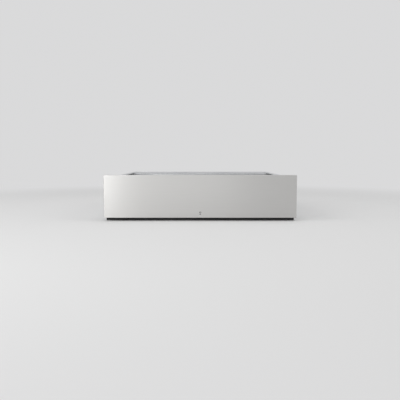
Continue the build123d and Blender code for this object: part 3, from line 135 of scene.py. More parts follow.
surround_shade = (0.70, 0.70, 0.705, 1)
cast_shade = (0.50, 0.50, 0.505, 1)
floor_finish, tree, shader, place = new_finish("studio_floor", roughness=0.9)
cloud = grain(tree, place, (0.6, 0.6, 0.6), 1.0)
tint(tree, shader, cloud, (0.84, 0.84, 0.835), (0.87, 0.87, 0.865))
reach = add_node(tree, "VectorMath")
reach.operation = "LENGTH"
tree.links.new(place, reach.inputs[0])
fade = add_node(tree, "MapRange", From_Min=0.95, From_Max=1.9)
fade.interpolation_type = "SMOOTHSTEP"
tree.links.new(reach.outputs["Value"], fade.inputs["Value"])
far_floor = add_node(tree, "Emission", Color=surround_shade)
seen_far = combine(tree, "MULTIPLY", fade.outputs["Result"], seen_ray(tree))
blend(tree, seen_far, shader.outputs["BSDF"], far_floor.outputs["Emission"], "Material Output")
bpy.ops.mesh.primitive_plane_add(size=40)
floor = bpy.context.object
floor.name = "studio_floor"
floor.data.materials.append(floor_finish)

surround = bpy.data.worlds.new("studio")
surround.use_nodes = True
tree = surround.node_tree
seen_light = tree.nodes["Background"]
seen_light.inputs["Color"].default_value = surround_shade
cast_light = add_node(tree, "Background", Color=cast_shade)
blend(
    tree, seen_ray(tree), cast_light.outputs["Background"], seen_light.outputs["Background"],
    "World Output",
)
bpy.context.scene.world = surround

lit_point = Vector((0, -0.1, 0.07))
for lamp_name, lamp_place, lamp_size, lamp_power in (
    ("tall_left", (-1.02, -1.75, 0.40), (0.55, 0.80), 4.9),
    ("wide_front", (-0.30, -2.70, 0.72), (1.5, 1.3), 3.7),
    ("side_left", (-2.2, -1.1, 1.7), (1.4, 1.4), 14),
    ("right", (2.2, -0.6, 1.7), (1.2, 1.2), 7),
    ("above", (0.1, 0.2, 2.3), (2.2, 1.8), 9),
):
    bpy.ops.object.light_add(type="AREA", location=lamp_place)
    lamp = bpy.context.object
    lamp.name = lamp_name
    lamp.data.shape = "RECTANGLE"
    lamp.data.size, lamp.data.size_y = lamp_size
    lamp.data.energy = lamp_power
    lamp.rotation_euler = (lit_point - Vector(lamp_place)).to_track_quat("-Z", "Y").to_euler()


# Housing: folded sheets of zinc-coated steel with a fine spangle, riveted together along their
# flanges, with beads in the floor and louvres in the rear wall.
def gloss(tree, shader, amount, low, high):
    """Roughness that runs from low to high as the amount rises."""
    span = add_node(tree, "MapRange", From_Min=0.25, From_Max=0.75, To_Min=low, To_Max=high)
    tree.links.new(amount, span.inputs["Value"])
    tree.links.new(span.outputs["Result"], shader.inputs["Roughness"])


def relief(tree, shader, height, depth):
    """Bump on the shader from a height pattern, with its depth in millimetres."""
    bump = add_node(tree, "Bump", Distance=depth / 1000)
    tree.links.new(height, bump.inputs["Height"])
    tree.links.new(bump.outputs["Normal"], shader.inputs["Normal"])


def galvanised(name, dark, light):
    """Zinc coat: crystals with their own shade and gloss, under rolling lines."""
    finish, tree, shader, place = new_finish(name, metallic=0.9)
    crystals = add_node(tree, "TexVoronoi", Scale=190)
    tree.links.new(place, crystals.inputs["Vector"])
    shade = add_node(tree, "SeparateColor")
    tree.links.new(crystals.outputs["Color"], shade.inputs["Color"])
    tint(tree, shader, shade.outputs["Red"], dark, light, 0.0, 1.0)
    gloss(tree, shader, shade.outputs["Green"], 0.40, 0.50)
    relief(tree, shader, grain(tree, place, (900, 60, 900)), 0.03)
    return finish


def dress(finish, *nodes):
    """Gives the finish to CAD nodes."""
    for node in nodes:
        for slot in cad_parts[node].material_slots:
            slot.material = finish


zinc_sheet = galvanised("zinc_sheet", (0.50, 0.51, 0.525), (0.585, 0.595, 0.605))
dress(
    zinc_sheet, "housing_base", "housing_side_left", "housing_side_right",
    "housing_rear_wall", "housing_top_rail", "housing_top_cover",
)


def corners(node):
    """Lowest and highest corner of a CAD node, in millimetres."""
    low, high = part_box(node)
    return low * 1000, high * 1000


def middle(node):
    """Middle of a CAD node's box, in millimetres."""
    low, high = corners(node)
    return (low + high) / 2


def mm(*numbers):
    """Place or size in metres from millimetres."""
    return Vector([number / 1000 for number in numbers])


def only(*pieces):
    """Selects these pieces alone, with the first one active."""
    bpy.ops.object.select_all(action="DESELECT")
    for piece in pieces:
        piece.select_set(True)
    bpy.context.view_layer.objects.active = pieces[0]


def named(name):
    """The active piece, with its place, turn and size taken up in its mesh."""
    bpy.ops.object.transform_apply()
    piece = bpy.context.object
    piece.name = piece.data.name = name
    return piece


def block(name, low, high):
    """Start of a piece: a block between two corners, in millimetres."""
    low, high = mm(*low), mm(*high)
    bpy.ops.mesh.primitive_cube_add(size=1, location=(low + high) / 2, scale=high - low)
    return named(name)


turns = {"X": (0, math.pi / 2, 0), "Y": (math.pi / 2, 0, 0), "Z": (0, 0, 0)}


def rod(name, centre, axis, radius, length, sides=32):
    """Start of a piece: a round bar about its centre, in millimetres."""
    bpy.ops.mesh.primitive_cylinder_add(
        vertices=sides, radius=radius / 1000, depth=length / 1000,
        location=mm(*centre), rotation=turns[axis],
    )
    return named(name)


def pick(piece, kind, test):
    """Edit mode with only the vertices, edges or faces selected that pass the test."""
    only(piece)
    bpy.ops.object.mode_set(mode="EDIT")
    bpy.ops.mesh.select_mode(type=kind)
    bpy.ops.mesh.select_all(action="DESELECT")
    shape = bmesh.from_edit_mesh(piece.data)
    for element in {"VERT": shape.verts, "EDGE": shape.edges, "FACE": shape.faces}[kind]:
        if test(element):
            element.select_set(True)
    shape.select_flush_mode()
    bmesh.update_edit_mesh(piece.data)


def end_edit():
    """Back from edit mode."""
    bpy.ops.object.mode_set(mode="OBJECT")


def press(piece, test, *steps):
    """Insets the faces that pass the test, and slopes or drops each inset, in millimetres."""
    pick(piece, "FACE", test)
    for border, slope, drop in steps:
        bpy.ops.mesh.inset(thickness=border / 1000)
        if slope:
            bpy.ops.transform.translate(value=(0, 0, slope / 1000))
        if drop:
            move = {"value": (0, 0, drop / 1000)}
            bpy.ops.mesh.extrude_region_move(TRANSFORM_OT_translate=move)
    end_edit()


def round_edges(piece, test, width, segments):
    """Rounds the edges that pass the test, with the width in millimetres."""
    pick(piece, "EDGE", test)
    bpy.ops.mesh.bevel(offset=width / 1000, segments=segments)
    end_edit()


def applied(piece, change):
    """The piece with one of its modifiers taken up in its mesh."""
    bpy.context.view_layer.objects.active = piece
    bpy.ops.object.modifier_apply(modifier=change.name)
    return piece


def take_out(piece, cutter):
    """Takes the cutter's shape out of the piece, and removes the cutter."""
    taken = piece.modifiers.new("taken", "BOOLEAN")
    taken.operation = "DIFFERENCE"
    taken.object = cutter
    taken.solver = "EXACT"
    applied(piece, taken)
    bpy.data.objects.remove(cutter)
    return piece


def join(pieces, name):
    """One piece out of several."""
    only(*pieces)
    if len(pieces) > 1:
        bpy.ops.object.join()
    pieces[0].name = pieces[0].data.name = name
    return pieces[0]


def complete(piece, finish, slot, *nodes, body="drawer"):
    """Finish, soft shading and body of a new piece, and the CAD nodes that it stands for."""
    only(piece)
    piece.data.materials.clear()
    piece.data.materials.append(finish)
    bpy.ops.object.shade_smooth_by_angle(angle=math.radians(35))
    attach(piece, body)
    if nodes:
        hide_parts(*nodes)


def copies(pattern, name, places):
    """Copies of a pattern made at the origin, each turned from +Z to a direction and moved."""
    made = []
    for spot, direction in places:
        one = pattern.copy()
        one.data = pattern.data.copy()
        bpy.context.scene.collection.objects.link(one)
        one.rotation_euler = Vector(direction).to_track_quat("Z", "Y").to_euler()
        one.location = mm(*spot)
        made.append(one)
    bpy.data.objects.remove(pattern)
    only(*made)
    bpy.ops.object.transform_apply()
    return join(made, name)


def grained(name, scale, dark, light, shine=None, depth=None, detail=3.0, **looks):
    """Finish whose colour, gloss and bump all follow one grain."""
    finish, tree, shader, place = new_finish(name, **looks)
    pattern = grain(tree, place, scale, detail)
    tint(tree, shader, pattern, dark, light)
    if shine:
        gloss(tree, shader, pattern, *shine)
    if depth:
        relief(tree, shader, pattern, depth)
    return finish


rivet_steel = grained(
    "rivet_steel", (700, 700, 700), (0.50, 0.51, 0.52), (0.66, 0.67, 0.68),
    metallic=0.95, roughness=0.36,
)


def fasten(pattern, name, places, *nodes, body="drawer"):
    """Steel rivets or screws, one at each place."""
    complete(copies(pattern, name, places), rivet_steel, "zinc_slide_steel", *nodes, body=body)


def faces_up(face):
    """Whether a face looks upwards."""
    return face.normal.z > 0.9


def rivet_pattern():
    """Domed rivet head on a thin collar, with the mandrel's hole in its middle."""
    head = rod("rivet", (0, 0, 0.3), "Z", 3.0, 0.6, 20)
    press(head, faces_up, (0.8, 0.4, 0), (1.2, 0, -0.6))
    return head


up = (0, 0, 1)
side_low, side_high = corners("housing_side_right")
rail_low, rail_high = corners("housing_top_rail")
cover_low, cover_high = corners("housing_top_cover")
flange_x = side_high.x - 11
rail_inset = 8.5
roof_rows = (
    rail_low.y + rail_inset, rail_high.y - rail_inset, cover_low.y + 16.6,
    middle("housing_top_cover").y, cover_high.y - 14,
)
side_rows = ((side_high.y - 4, (24, 68, 112)), (side_low.y + 10.5, (24, 108)))
housing_rivets = []
for sign in (-1, 1):
    housing_rivets += [((sign * flange_x, y, side_high.z), up) for y in roof_rows]
    for y, heights in side_rows:
        housing_rivets += [((sign * side_high.x, y, z), (sign, 0, 0)) for z in heights]
fasten(rivet_pattern(), "housing_rivets", housing_rivets, body="housing")


def screw_pattern(radius, height, socket):
    """Pan-head screw with a six-sided socket and a rounded crown."""
    head = rod("screw", (0, 0, height / 2), "Z", radius, height)
    crown = height / 1100
    round_edges(head, lambda edge: all(v.co.z > crown for v in edge.verts), 0.35 * height, 4)
    return take_out(head, rod("key", (0, 0, height), "Z", socket, height, 6))


slide_y, slide_z = corners("slide_outer_right")[0].y, middle("slide_outer_right").z
fasten(screw_pattern(4.0, 2.2, 1.8), "slide_screws", [
    ((sign * side_high.x, slide_y + along, slide_z), (sign, 0, 0))
    for sign in (-1, 1) for along in (21.5, 123.5, 293.5, 418.5)
], body="housing")


# Mains inlet: moulded black socket with three flat nickel pins, their solder tabs inside the
# housing, and two small screws through its flange.
def moulded(name, dark, light, roughness, grit=1500):
    """Plastic with the fine spark-eroded grain of its mould."""
    shine = (roughness - 0.05, roughness + 0.08)
    return grained(name, (grit, grit, grit), dark, light, shine, 0.03, detail=2.0)


def slab(name, centre, size):
    """Start of a piece: a block about its centre, in millimetres."""
    bpy.ops.mesh.primitive_cube_add(size=1, location=mm(*centre), scale=mm(*size))
    return named(name)


def ease(piece, width, segments=2, angle=40):
    """Rounds the piece's sharp edges, with the width in millimetres."""
    bevel = piece.modifiers.new("ease", "BEVEL")
    bevel.width = width / 1000
    bevel.segments = segments
    bevel.limit_method = "ANGLE"
    bevel.angle_limit = math.radians(angle)
    return applied(piece, bevel)


black_moulding = moulded("black_moulding", (0.022, 0.022, 0.023), (0.034, 0.034, 0.035), 0.5)
dress(black_moulding, "mains_inlet")
nickel = grained(
    "nickel", (300, 1200, 1200), (0.60, 0.57, 0.51), (0.74, 0.71, 0.65), (0.2, 0.34),
    metallic=1.0,
)
inlet_low, inlet_high = corners("mains_inlet")
inlet = middle("mains_inlet")
pin_pitch, pin_width = 7, 4.1
inlet_pins = []
for pin_x, pin_z in ((-pin_pitch, -1), (0, 2), (pin_pitch, -1)):
    for end_name, end_y, length, height, rounding, segments in (
        ("pin", inlet_high.y - 9.45, 13.3, 2.1, 0.6, 3),
        ("tab", inlet_low.y + 6.45, 13.1, 0.9, 0.2, 2),
    ):
        centre = (inlet.x + pin_x, end_y, inlet.z + pin_z)
        end = slab(end_name, centre, (pin_width, length, height))
        inlet_pins.append(ease(end, rounding, segments))
complete(join(inlet_pins, "inlet_pins"), nickel, "zinc_slide_steel", body="housing")
fasten(screw_pattern(2.0, 1.2, 0.9), "inlet_screws", [
    ((inlet.x + x, inlet_high.y, inlet.z), (0, 1, 0)) for x in (-16.1, 16.1)
], body="housing")

# Front frame: steel plate with a fine black powder coat round the mouth, screwed to the
# cabinet through its four holes, with two soft pads that the panel closes against. The coat
# is made near-black so that it also stands in as painted shade for the shadowed gap under
# and around the panel.
# Near-black: the frame's own black coat, darkened further as painted shade for the gap's shadow.
black_coat_and_gap_shade = grained(
    "black_coat_and_gap_shade", (900, 900, 900), (0.010, 0.010, 0.011), (0.017, 0.017, 0.018),
    (0.5, 0.68), 0.06, detail=4.0,
)
dress(black_coat_and_gap_shade, "front_frame")
soft_black = grained(
    "soft_black", (260, 260, 260), (0.018, 0.018, 0.018), (0.036, 0.036, 0.037),
    (0.58, 0.76), 0.03, detail=5.0,
)
pad_low, pad_high = corners("closing_buffers")
pad_width = 6
pads = []
for pad_x in (pad_low.x, pad_high.x - pad_width):
    pad = block("pad", (pad_x, *pad_low.yz), (pad_x + pad_width, *pad_high.yz))
    press(pad, lambda face: face.normal.y < -0.9, (1.2, 0, 0))
    pads.append(ease(pad, 0.35, 3))
pads = join(pads, "buffer_pads")
complete(pads, soft_black, "black_silicone", "closing_buffers", body="housing")


# Front panel: one stainless sheet folded round a board, satin ground along its length, with
# softly rounded edges and an inward lip behind. It opens by a push, so it has no handle.
def open_up(piece, test, border=None):
    """Deletes the faces that pass the test, up to a border in millimetres."""
    pick(piece, "FACE", test)
    if border:
        bpy.ops.mesh.inset(thickness=border / 1000)
    bpy.ops.mesh.delete(type="FACE")
    end_edit()


def extent(edge):
    """How far an edge reaches along each axis, in millimetres."""
    return Vector([abs(number) * 1000 for number in edge.verts[0].co - edge.verts[1].co])


def thicken(piece, thickness, side=-1):
    """Gives a skin its thickness, in millimetres: inwards at -1, outwards at 1, evenly at 0."""
    skin = piece.modifiers.new("skin", "SOLIDIFY")
    skin.thickness = thickness / 1000
    skin.offset = side
    return applied(piece, skin)


satin_steel = grained(
    "satin_steel", (14, 900, 5200), (0.625, 0.620, 0.608), (0.655, 0.650, 0.638),
    (0.38, 0.45), 0.006, detail=2.0, metallic=1.0,
    more=(("Anisotropic", 0.8), ("Anisotropic Rotation", 0.25)),
)
panel_low, panel_high = corners("front_panel")
panel_sheet = 1.0
panel_round = 1.2
panel_lip = 11.5
mark_rise = 0.05
front_line = (panel_low.y + 0.1) / 1000
panel = block("front_panel_sheet", (panel_low.x, panel_low.y + mark_rise, panel_low.z), panel_high)
open_up(panel, lambda face: face.normal.y > 0.9, panel_lip)
round_edges(panel, lambda edge: all(v.co.y < front_line for v in edge.verts), panel_round, 5)
round_edges(panel, lambda edge: extent(edge).y > 10 and edge.calc_length() > 0.015, 0.6, 3)
thicken(panel, panel_sheet)
complete(panel, satin_steel, "brushed_stainless", "front_panel")


# Mark near the panel's lower edge: a small printed ring above a short bar, where the panel
# is pressed.
def flat_ring(centre, axis, outer, band, thickness):
    """Printed ring about its centre and across an axis, in millimetres."""
    bpy.ops.mesh.primitive_circle_add(
        vertices=40, radius=outer / 1000, fill_type="NGON",
        location=mm(*centre), rotation=turns[axis],
    )
    ring = named("ring")
    open_up(ring, lambda face: True, band)
    return thicken(ring, thickness, 0)


mark_ink = grained(
    "mark_ink", (2500, 2500, 2500), (0.030, 0.030, 0.031), (0.052, 0.052, 0.054), (0.42, 0.58)
)
mark_radius, mark_band = 2.9, 1.3
mark_z = panel_low.z + 16.4
mark_y = panel_low.y + mark_rise / 2
bar_width, bar_height, bar_drop = 4.8, 1.9, 5.95
mark_bar = slab("bar", (0, mark_y, mark_z - bar_drop), (bar_width, mark_rise, bar_height))
round_edges(mark_bar, lambda edge: extent(edge).y > 0.01, 0.9, 4)
mark_ring = flat_ring((0, mark_y, mark_z), "Y", mark_radius, mark_band, mark_rise * 0.98)
complete(join([mark_ring, mark_bar], "panel_mark"), mark_ink, "black_plastic")

# Behind the panel: a brown wood-fibre board that stiffens it, and the galvanised carrier
# plate that the drawer's sides are screwed to.
fibre_board = grained(
    "fibre_board", (900, 350, 220), (0.25, 0.19, 0.13), (0.43, 0.34, 0.24),
    depth=0.15, detail=6.0, roughness=0.85,
)
dress(fibre_board, "panel_core")
dress(zinc_sheet, "front_carrier")

# Telescopic slides: rolled zinc-plated rails with bright ball tracks, and pressed cages that
# hold the balls apart, nine in each track.
slide_zinc = grained(
    "slide_zinc", (1800, 9, 1800), (0.56, 0.575, 0.585), (0.70, 0.71, 0.72),
    (0.24, 0.38), 0.02, metallic=1.0,
)
dress(
    slide_zinc, "slide_outer_left", "slide_outer_right", "slide_middle_left",
    "slide_middle_right", "slide_inner_left", "slide_inner_right",
)
ball_steel = grained(
    "ball_steel", (420, 420, 420), (0.62, 0.62, 0.63), (0.78, 0.78, 0.79), (0.06, 0.16),
    metallic=1.0,
)
cage_balls = 9
cage_end = 14
cage_skin = 0.6
cage_overlap = 0.3
ball_radius = 1.8
for rank, hand, inwards in (
    ("outer", "left", 1), ("outer", "right", -1), ("inner", "left", 1), ("inner", "right", -1),
):
    cage_node, cage_body = f"ball_cage_{rank}_{hand}", f"{rank}_cage_{hand}"
    cage_low, cage_high = corners(cage_node)
    web_x, tip_x = (cage_low.x, cage_high.x)[::inwards]
    web_line = web_x / 1000
    ball_x = tip_x - inwards * ball_radius
    row_low, row_high = cage_low.z + ball_radius, cage_high.z - ball_radius
    strip = block(
        f"{cage_node}_strip", (*cage_low.xy, row_low - cage_overlap),
        (*cage_high.xy, row_high + cage_overlap),
    )
    open_up(strip, lambda face: face.normal.x * inwards > 0.9 or abs(face.normal.y) > 0.9)
    round_edges(strip, lambda edge: (
        extent(edge).y > 100 and abs(edge.verts[0].co.x - web_line) < 1e-5
    ), 0.8, 3)
    thicken(strip, cage_skin)
    complete(strip, slide_zinc, "zinc_slide_steel", cage_node, body=cage_body)
    bpy.ops.mesh.primitive_ico_sphere_add(subdivisions=2, radius=ball_radius / 1000)
    ball_step = (cage_high.y - cage_low.y - 2 * cage_end) / (cage_balls - 1)
    balls = copies(named("ball"), f"{cage_node}_balls", [
        ((ball_x, cage_low.y + cage_end + ball_step * index, row), up)
        for index in range(cage_balls) for row in (row_low, row_high)
    ])
    complete(balls, ball_steel, "zinc_slide_steel", body=cage_body)

# Drawer body: folded galvanised sheets, riveted to the floor sheet, with a steel striker on
# the rear wall for the latch.
drawer_zinc = galvanised("drawer_zinc", (0.53, 0.54, 0.55), (0.61, 0.615, 0.625))
dress(drawer_zinc, "drawer_base", "drawer_side_left", "drawer_side_right", "drawer_rear_wall")
base_rivet_x = 253
base_top = corners("drawer_base")[1].z
fasten(rivet_pattern(), "drawer_rivets", [
    ((sign * base_rivet_x, y, base_top), up) for sign in (-1, 1) for y in (-205, -60, 90, 205)
])

# Deck: satin stainless top sheet round the tub's mouth, and the slotted cover over the pump,
# held by four screws.
deck_steel = grained(
    "deck_steel", (16, 4200, 900), (0.585, 0.582, 0.575), (0.635, 0.632, 0.625),
    (0.30, 0.38), 0.008, detail=2.0, metallic=1.0,
)
dress(deck_steel, "deck_plate", "pump_cover")
deck_high = corners("pump_cover")[1]
deck_z = deck_high.z
fasten(screw_pattern(3.4, 1.6, 1.5), "cover_screws", [
    ((sign * x, deck_high.y - 8, deck_z), up) for sign in (-1, 1) for x in (40, 250)
])

# Vacuum chamber: tub deep-drawn from stainless sheet, so its corners and floor edge are round
# and its surface is a soft satin, with a flat rim below the deck.
drawn_steel, tree, shader, place = new_finish("drawn_steel", metallic=1.0)
shimmer = grain(tree, place, (26, 26, 60), 2.0)
tint(tree, shader, shimmer, (0.585, 0.582, 0.575), (0.62, 0.617, 0.61))
gloss(tree, shader, shimmer, 0.27, 0.33)
relief(tree, shader, grain(tree, place, (1500, 1500, 300), 2.0), 0.008)
tub_low, tub_high = corners("vacuum_chamber")
tub_size = tub_high - tub_low
tub_sheet = 1.2
tub_rim = 13
tub_corner = 25
tub_floor_round = 12
rim_line = (tub_high.z - 0.1) / 1000
floor_line = (tub_low.z + tub_sheet + 0.1) / 1000
tub = block(
    "chamber_tub", (tub_low.x + tub_rim, tub_low.y + tub_rim, tub_low.z + tub_sheet),
    (tub_high.x - tub_rim, tub_high.y - tub_rim, tub_high.z),
)
open_up(tub, faces_up)
round_edges(tub, lambda edge: extent(edge).z > 10, tub_corner, 10)
round_edges(tub, lambda edge: all(v.co.z < floor_line for v in edge.verts), tub_floor_round, 6)
pick(tub, "EDGE", lambda edge: all(v.co.z > rim_line for v in edge.verts))
bpy.ops.mesh.extrude_region_move(TRANSFORM_OT_translate={"value": (0, 0, 0)})
bpy.ops.transform.resize(
    value=(tub_size.x / (tub_size.x - 2 * tub_rim), tub_size.y / (tub_size.y - 2 * tub_rim), 1),
    center_override=mm(0, middle("vacuum_chamber").y, tub_high.z),
)
end_edit()
pick(tub, "FACE", lambda face: True)
bpy.ops.mesh.normals_make_consistent()
end_edit()
thicken(tub, tub_sheet, 1)
complete(tub, drawn_steel, "deck_stainless", "vacuum_chamber")


# Chamber gasket: black silicone ring on the deck with a softly rounded back, which the glass
# is drawn down on.
def merged_copy(node, name):
    """Copy of a CAD node with its triangles merged into whole faces."""
    piece = bpy.data.objects.new(name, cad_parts[node].data.copy())
    piece.data.name = name
    bpy.context.scene.collection.objects.link(piece)
    only(piece)
    bpy.ops.mesh.customdata_custom_splitnormals_clear()
    bpy.ops.object.mode_set(mode="EDIT")
    bpy.ops.mesh.select_all(action="SELECT")
    bpy.ops.mesh.remove_doubles(threshold=0.000002)
    bpy.ops.mesh.dissolve_limited(angle_limit=math.radians(1))
    end_edit()
    return piece


gasket = merged_copy("chamber_gasket", "gasket_ring")
gasket_line = (corners("chamber_gasket")[1].z - 0.1) / 1000
round_edges(gasket, lambda edge: (
    all(v.co.z > gasket_line for v in edge.verts)
    and len(edge.link_faces) == 2 and edge.calc_face_angle() > 1
), 1.2, 4)
complete(gasket, soft_black, "black_silicone", "chamber_gasket")

# Suction port: white moulded disc with three slots inside the tub, and a threaded neck with
# a nut and a barbed end behind the tub's wall.
white_moulding = moulded("white_moulding", (0.62, 0.62, 0.60), (0.69, 0.69, 0.67), 0.42)
mouth_low, mouth_high = corners("suction_port")
mouth = middle("suction_port")
mouth_disc = 3
slot_half = Vector((5.5, 1.25, 0.75))
neck_radius, barb_radius, barb_length, barb_taper = 4.0, 4.8, 2.6, 0.84
wall_y, neck_end = mouth_low.y + mouth_disc, mouth_high.y
disc = ease(rod(
    "disc", (mouth.x, mouth_low.y + mouth_disc / 2, mouth.z), "Y",
    (mouth_high.z - mouth_low.z) / 2, mouth_disc, 48,
), 0.7, 3)
for row in (-5.5, 0, 5.5):
    slot_middle = Vector((mouth.x, mouth_low.y + 0.25, mouth.z + row))
    take_out(disc, block("slot", slot_middle - slot_half, slot_middle + slot_half))
neck = [disc, rod(
    "neck", (mouth.x, (wall_y + neck_end) / 2, mouth.z), "Y", neck_radius, neck_end - wall_y
)]
for barb_y in (neck_end - 4.5, neck_end - 1.5):
    barb = rod("barb", (mouth.x, barb_y, mouth.z), "Y", barb_radius, barb_length)
    pick(barb, "FACE", lambda face: face.normal.y > 0.9)
    bpy.ops.transform.resize(
        value=(barb_taper, 1, barb_taper), center_override=mm(mouth.x, barb_y, mouth.z)
    )
    end_edit()
    neck.append(barb)
neck.append(ease(rod("nut", (mouth.x, wall_y + tub_sheet + 2.5, mouth.z), "Y", 9, 5, 6), 0.5))
complete(join(neck, "suction_mouth"), white_moulding, "white_plastic", "suction_port")

# Sealing cylinders and push rods: turned aluminium pots on the tub's floor and the rods that
# lift the sealing bar.
turned_aluminium = grained(
    "turned_aluminium", (90, 90, 5200), (0.60, 0.60, 0.61), (0.74, 0.74, 0.75),
    (0.24, 0.36), 0.02, detail=2.0, metallic=1.0,
)
pot_low, pot_high = corners("seal_cylinders")
stem_low, stem_high = corners("push_rods")
pot_z, stem_z = middle("seal_cylinders").z, middle("push_rods").z
seal_y = middle("seal_cylinders").y
pot_radius = (pot_high.y - pot_low.y) / 2
stem_radius = (stem_high.y - stem_low.y) / 2 - 0.05
pots, stems = [], []
for pot_x in (pot_low.x + pot_radius, pot_high.x - pot_radius):
    pot = rod("pot", (pot_x, seal_y, pot_z), "Z", pot_radius, pot_high.z - pot_low.z, 48)
    press(pot, faces_up, (3.2, 0, -1.2), (1.6, 0, -16.8))
    pots.append(ease(pot, 0.6, 3))
    stem = rod("stem", (pot_x, seal_y, stem_z), "Z", stem_radius, stem_high.z - stem_low.z, 40)
    stems.append(ease(stem, 0.4))
complete(join(pots, "sealing_pots"), turned_aluminium, "anodised_aluminium", "seal_cylinders")
stems = join(stems, "lifting_rods")
complete(stems, turned_aluminium, "anodised_aluminium", "push_rods", body="sealing_bar")


# Sealing bar: heat-proof black beam, a flat heating wire in its groove, and a woven
# non-stick tape over the wire, folded down at the ends under two clips.
def refine(node, name, width, finish, slot, body="drawer", angle=50):
    """Rounds the sharp edges of a CAD node, with the width in millimetres."""
    complete(ease(merged_copy(node, name), width, 2, angle), finish, slot, node, body=body)


def waves(tree, place, direction, bands):
    """Even ridges across one axis, in bands a metre."""
    wave = add_node(tree, "TexWave", Scale=bands * math.pi / 10)
    wave.bands_direction = direction
    tree.links.new(place, wave.inputs["Vector"])
    return wave.outputs["Fac"]


dark_beam = moulded("dark_beam", (0.020, 0.018, 0.017), (0.042, 0.038, 0.035), 0.46, grit=700)
refine("seal_bar", "sealing_beam", 0.3, dark_beam, "black_plastic", "sealing_bar")
hot_wire = grained(
    "hot_wire", (60, 900, 900), (0.34, 0.30, 0.27), (0.58, 0.54, 0.49), (0.3, 0.45), metallic=1.0
)
dress(hot_wire, "seal_wire")
release_tape, tree, shader, place = new_finish("release_tape")
threads = [waves(tree, place, direction, 1800) for direction in "XY"]
weave = combine(tree, "MULTIPLY", *threads)
# The tape's colour is darker where the threads dip, as painted shade over the weave.
tint(tree, shader, weave, (0.24, 0.135, 0.062), (0.40, 0.245, 0.125), 0.0, 1.0)
gloss(tree, shader, grain(tree, place, (40, 300, 300)), 0.3, 0.46)
relief(tree, shader, weave, 0.05)
dress(release_tape, "seal_tape")
tape_low, tape_high = corners("seal_tape")
clip_half_x, clip_half_y, clip_drop, clip_sheet = 3, 8.6, 12, 0.5
end_clips = []
for clip_x in (tape_low.x + clip_half_x, tape_high.x - clip_half_x):
    clip = block(
        "clip", (clip_x - clip_half_x, seal_y - clip_half_y, tape_low.z - clip_drop),
        (clip_x + clip_half_x, seal_y + clip_half_y, tape_high.z - 0.02),
    )
    open_up(clip, lambda face: abs(face.normal.x) > 0.9 or face.normal.z < -0.9)
    end_clips.append(ease(thicken(clip, clip_sheet), 0.2))
complete(join(end_clips, "tape_clips"), rivet_steel, "zinc_slide_steel", body="sealing_bar")

# Lid: a thick toughened pane with polished edges, faintly green, clamped at the rear by an
# anodised profile that carries the hinge, with a grip rail at the front.
lid_pane = grained(
    "lid_pane", (3, 3, 3), (0.90, 0.955, 0.94), (0.92, 0.97, 0.955), (0.01, 0.03),
    detail=1.0, more=(("Transmission Weight", 1.0), ("IOR", 1.5)),
)
refine("lid_glass", "lid_pane", 0.6, lid_pane, "clear_glass", "lid")
anodised = grained(
    "anodised", (5, 3600, 3600), (0.60, 0.60, 0.61), (0.68, 0.68, 0.69),
    (0.3, 0.4), 0.015, detail=2.0, metallic=1.0,
)
for rail_node, rounding, rail_body in (
    ("lid_hinge_profile", 0.35, "lid"), ("lid_handle", 0.3, "lid"),
    ("hinge_brackets", 0.35, "drawer"),
):
    refine(rail_node, f"{rail_node}_eased", rounding, anodised, "anodised_aluminium", rail_body)
dress(rivet_steel, "hinge_pins")

# Counter bar under the glass: white silicone strip in a black holder that is bonded to the
# pane.
refine("counter_holder", "counter_channel", 0.3, black_moulding, "black_plastic", "lid")
pale_silicone = grained(
    "pale_silicone", (160, 160, 160), (0.66, 0.66, 0.64), (0.74, 0.74, 0.72),
    depth=0.02, detail=4.0, roughness=0.55, more=(("Subsurface Weight", 0.1),),
)
dress(pale_silicone, "counter_bar")

# Controls: black glass strip with printed symbols and small lights, over the touch board
# with its display.
touch_glass = grained(
    "touch_glass", (22, 22, 22), (0.006, 0.006, 0.007), (0.009, 0.009, 0.010), (0.05, 0.14),
    detail=5.0,
)
dress(touch_glass, "control_glass")
circuit_green, tree, shader, place = new_finish("circuit_green", roughness=0.4)
tracks = add_node(
    tree, "TexBrick", Scale=160, Mortar_Size=0.06, Mortar=(0.05, 0.22, 0.09, 1),
    Color1=(0.018, 0.11, 0.045, 1), Color2=(0.024, 0.135, 0.055, 1),
)
tree.links.new(place, tracks.inputs["Vector"])
tree.links.new(tracks.outputs["Color"], shader.inputs["Base Color"])
relief(tree, shader, tracks.outputs["Fac"], 0.04)
dress(circuit_green, "control_board")

white_ink = grained("white_ink", (1800, 1800, 1800), (0.60, 0.60, 0.60), (0.72, 0.72, 0.72))
touch_y = middle("control_glass").y
ink_z = corners("control_glass")[1].z
ink_rise = 0.03
key_pitch = 48
key_radius, key_band = 4.2, 0.7
step_pitch = 4.5
ink_mid_z = ink_z + ink_rise / 2
symbols = [
    flat_ring((key * key_pitch, touch_y, ink_mid_z), "Z", key_radius, key_band, ink_rise)
    for key in (-3, 2, 3)
]
bars = [(-3, -0.35, 1, 0.7, 4.6), (2, -0.3, -0.3, 2.9, 0.6), (2, -0.3, 0, 0.6, 2.8)]
for step in range(3):
    bars.append((-2, step_pitch * (step - 1) - 1.5, -4.5, 3, 3 + 3 * step))
    bars.append((1, -4.5, -5.5 + 5 * step, 9, 1))
for key, bar_x, bar_y, width, depth in bars:
    bar_x, bar_y = key * key_pitch + bar_x, touch_y + bar_y
    symbols.append(block(
        "symbol", (bar_x, bar_y, ink_z), (bar_x + width, bar_y + depth, ink_z + ink_rise)
    ))
complete(join(symbols, "touch_symbols"), white_ink, "white_plastic")

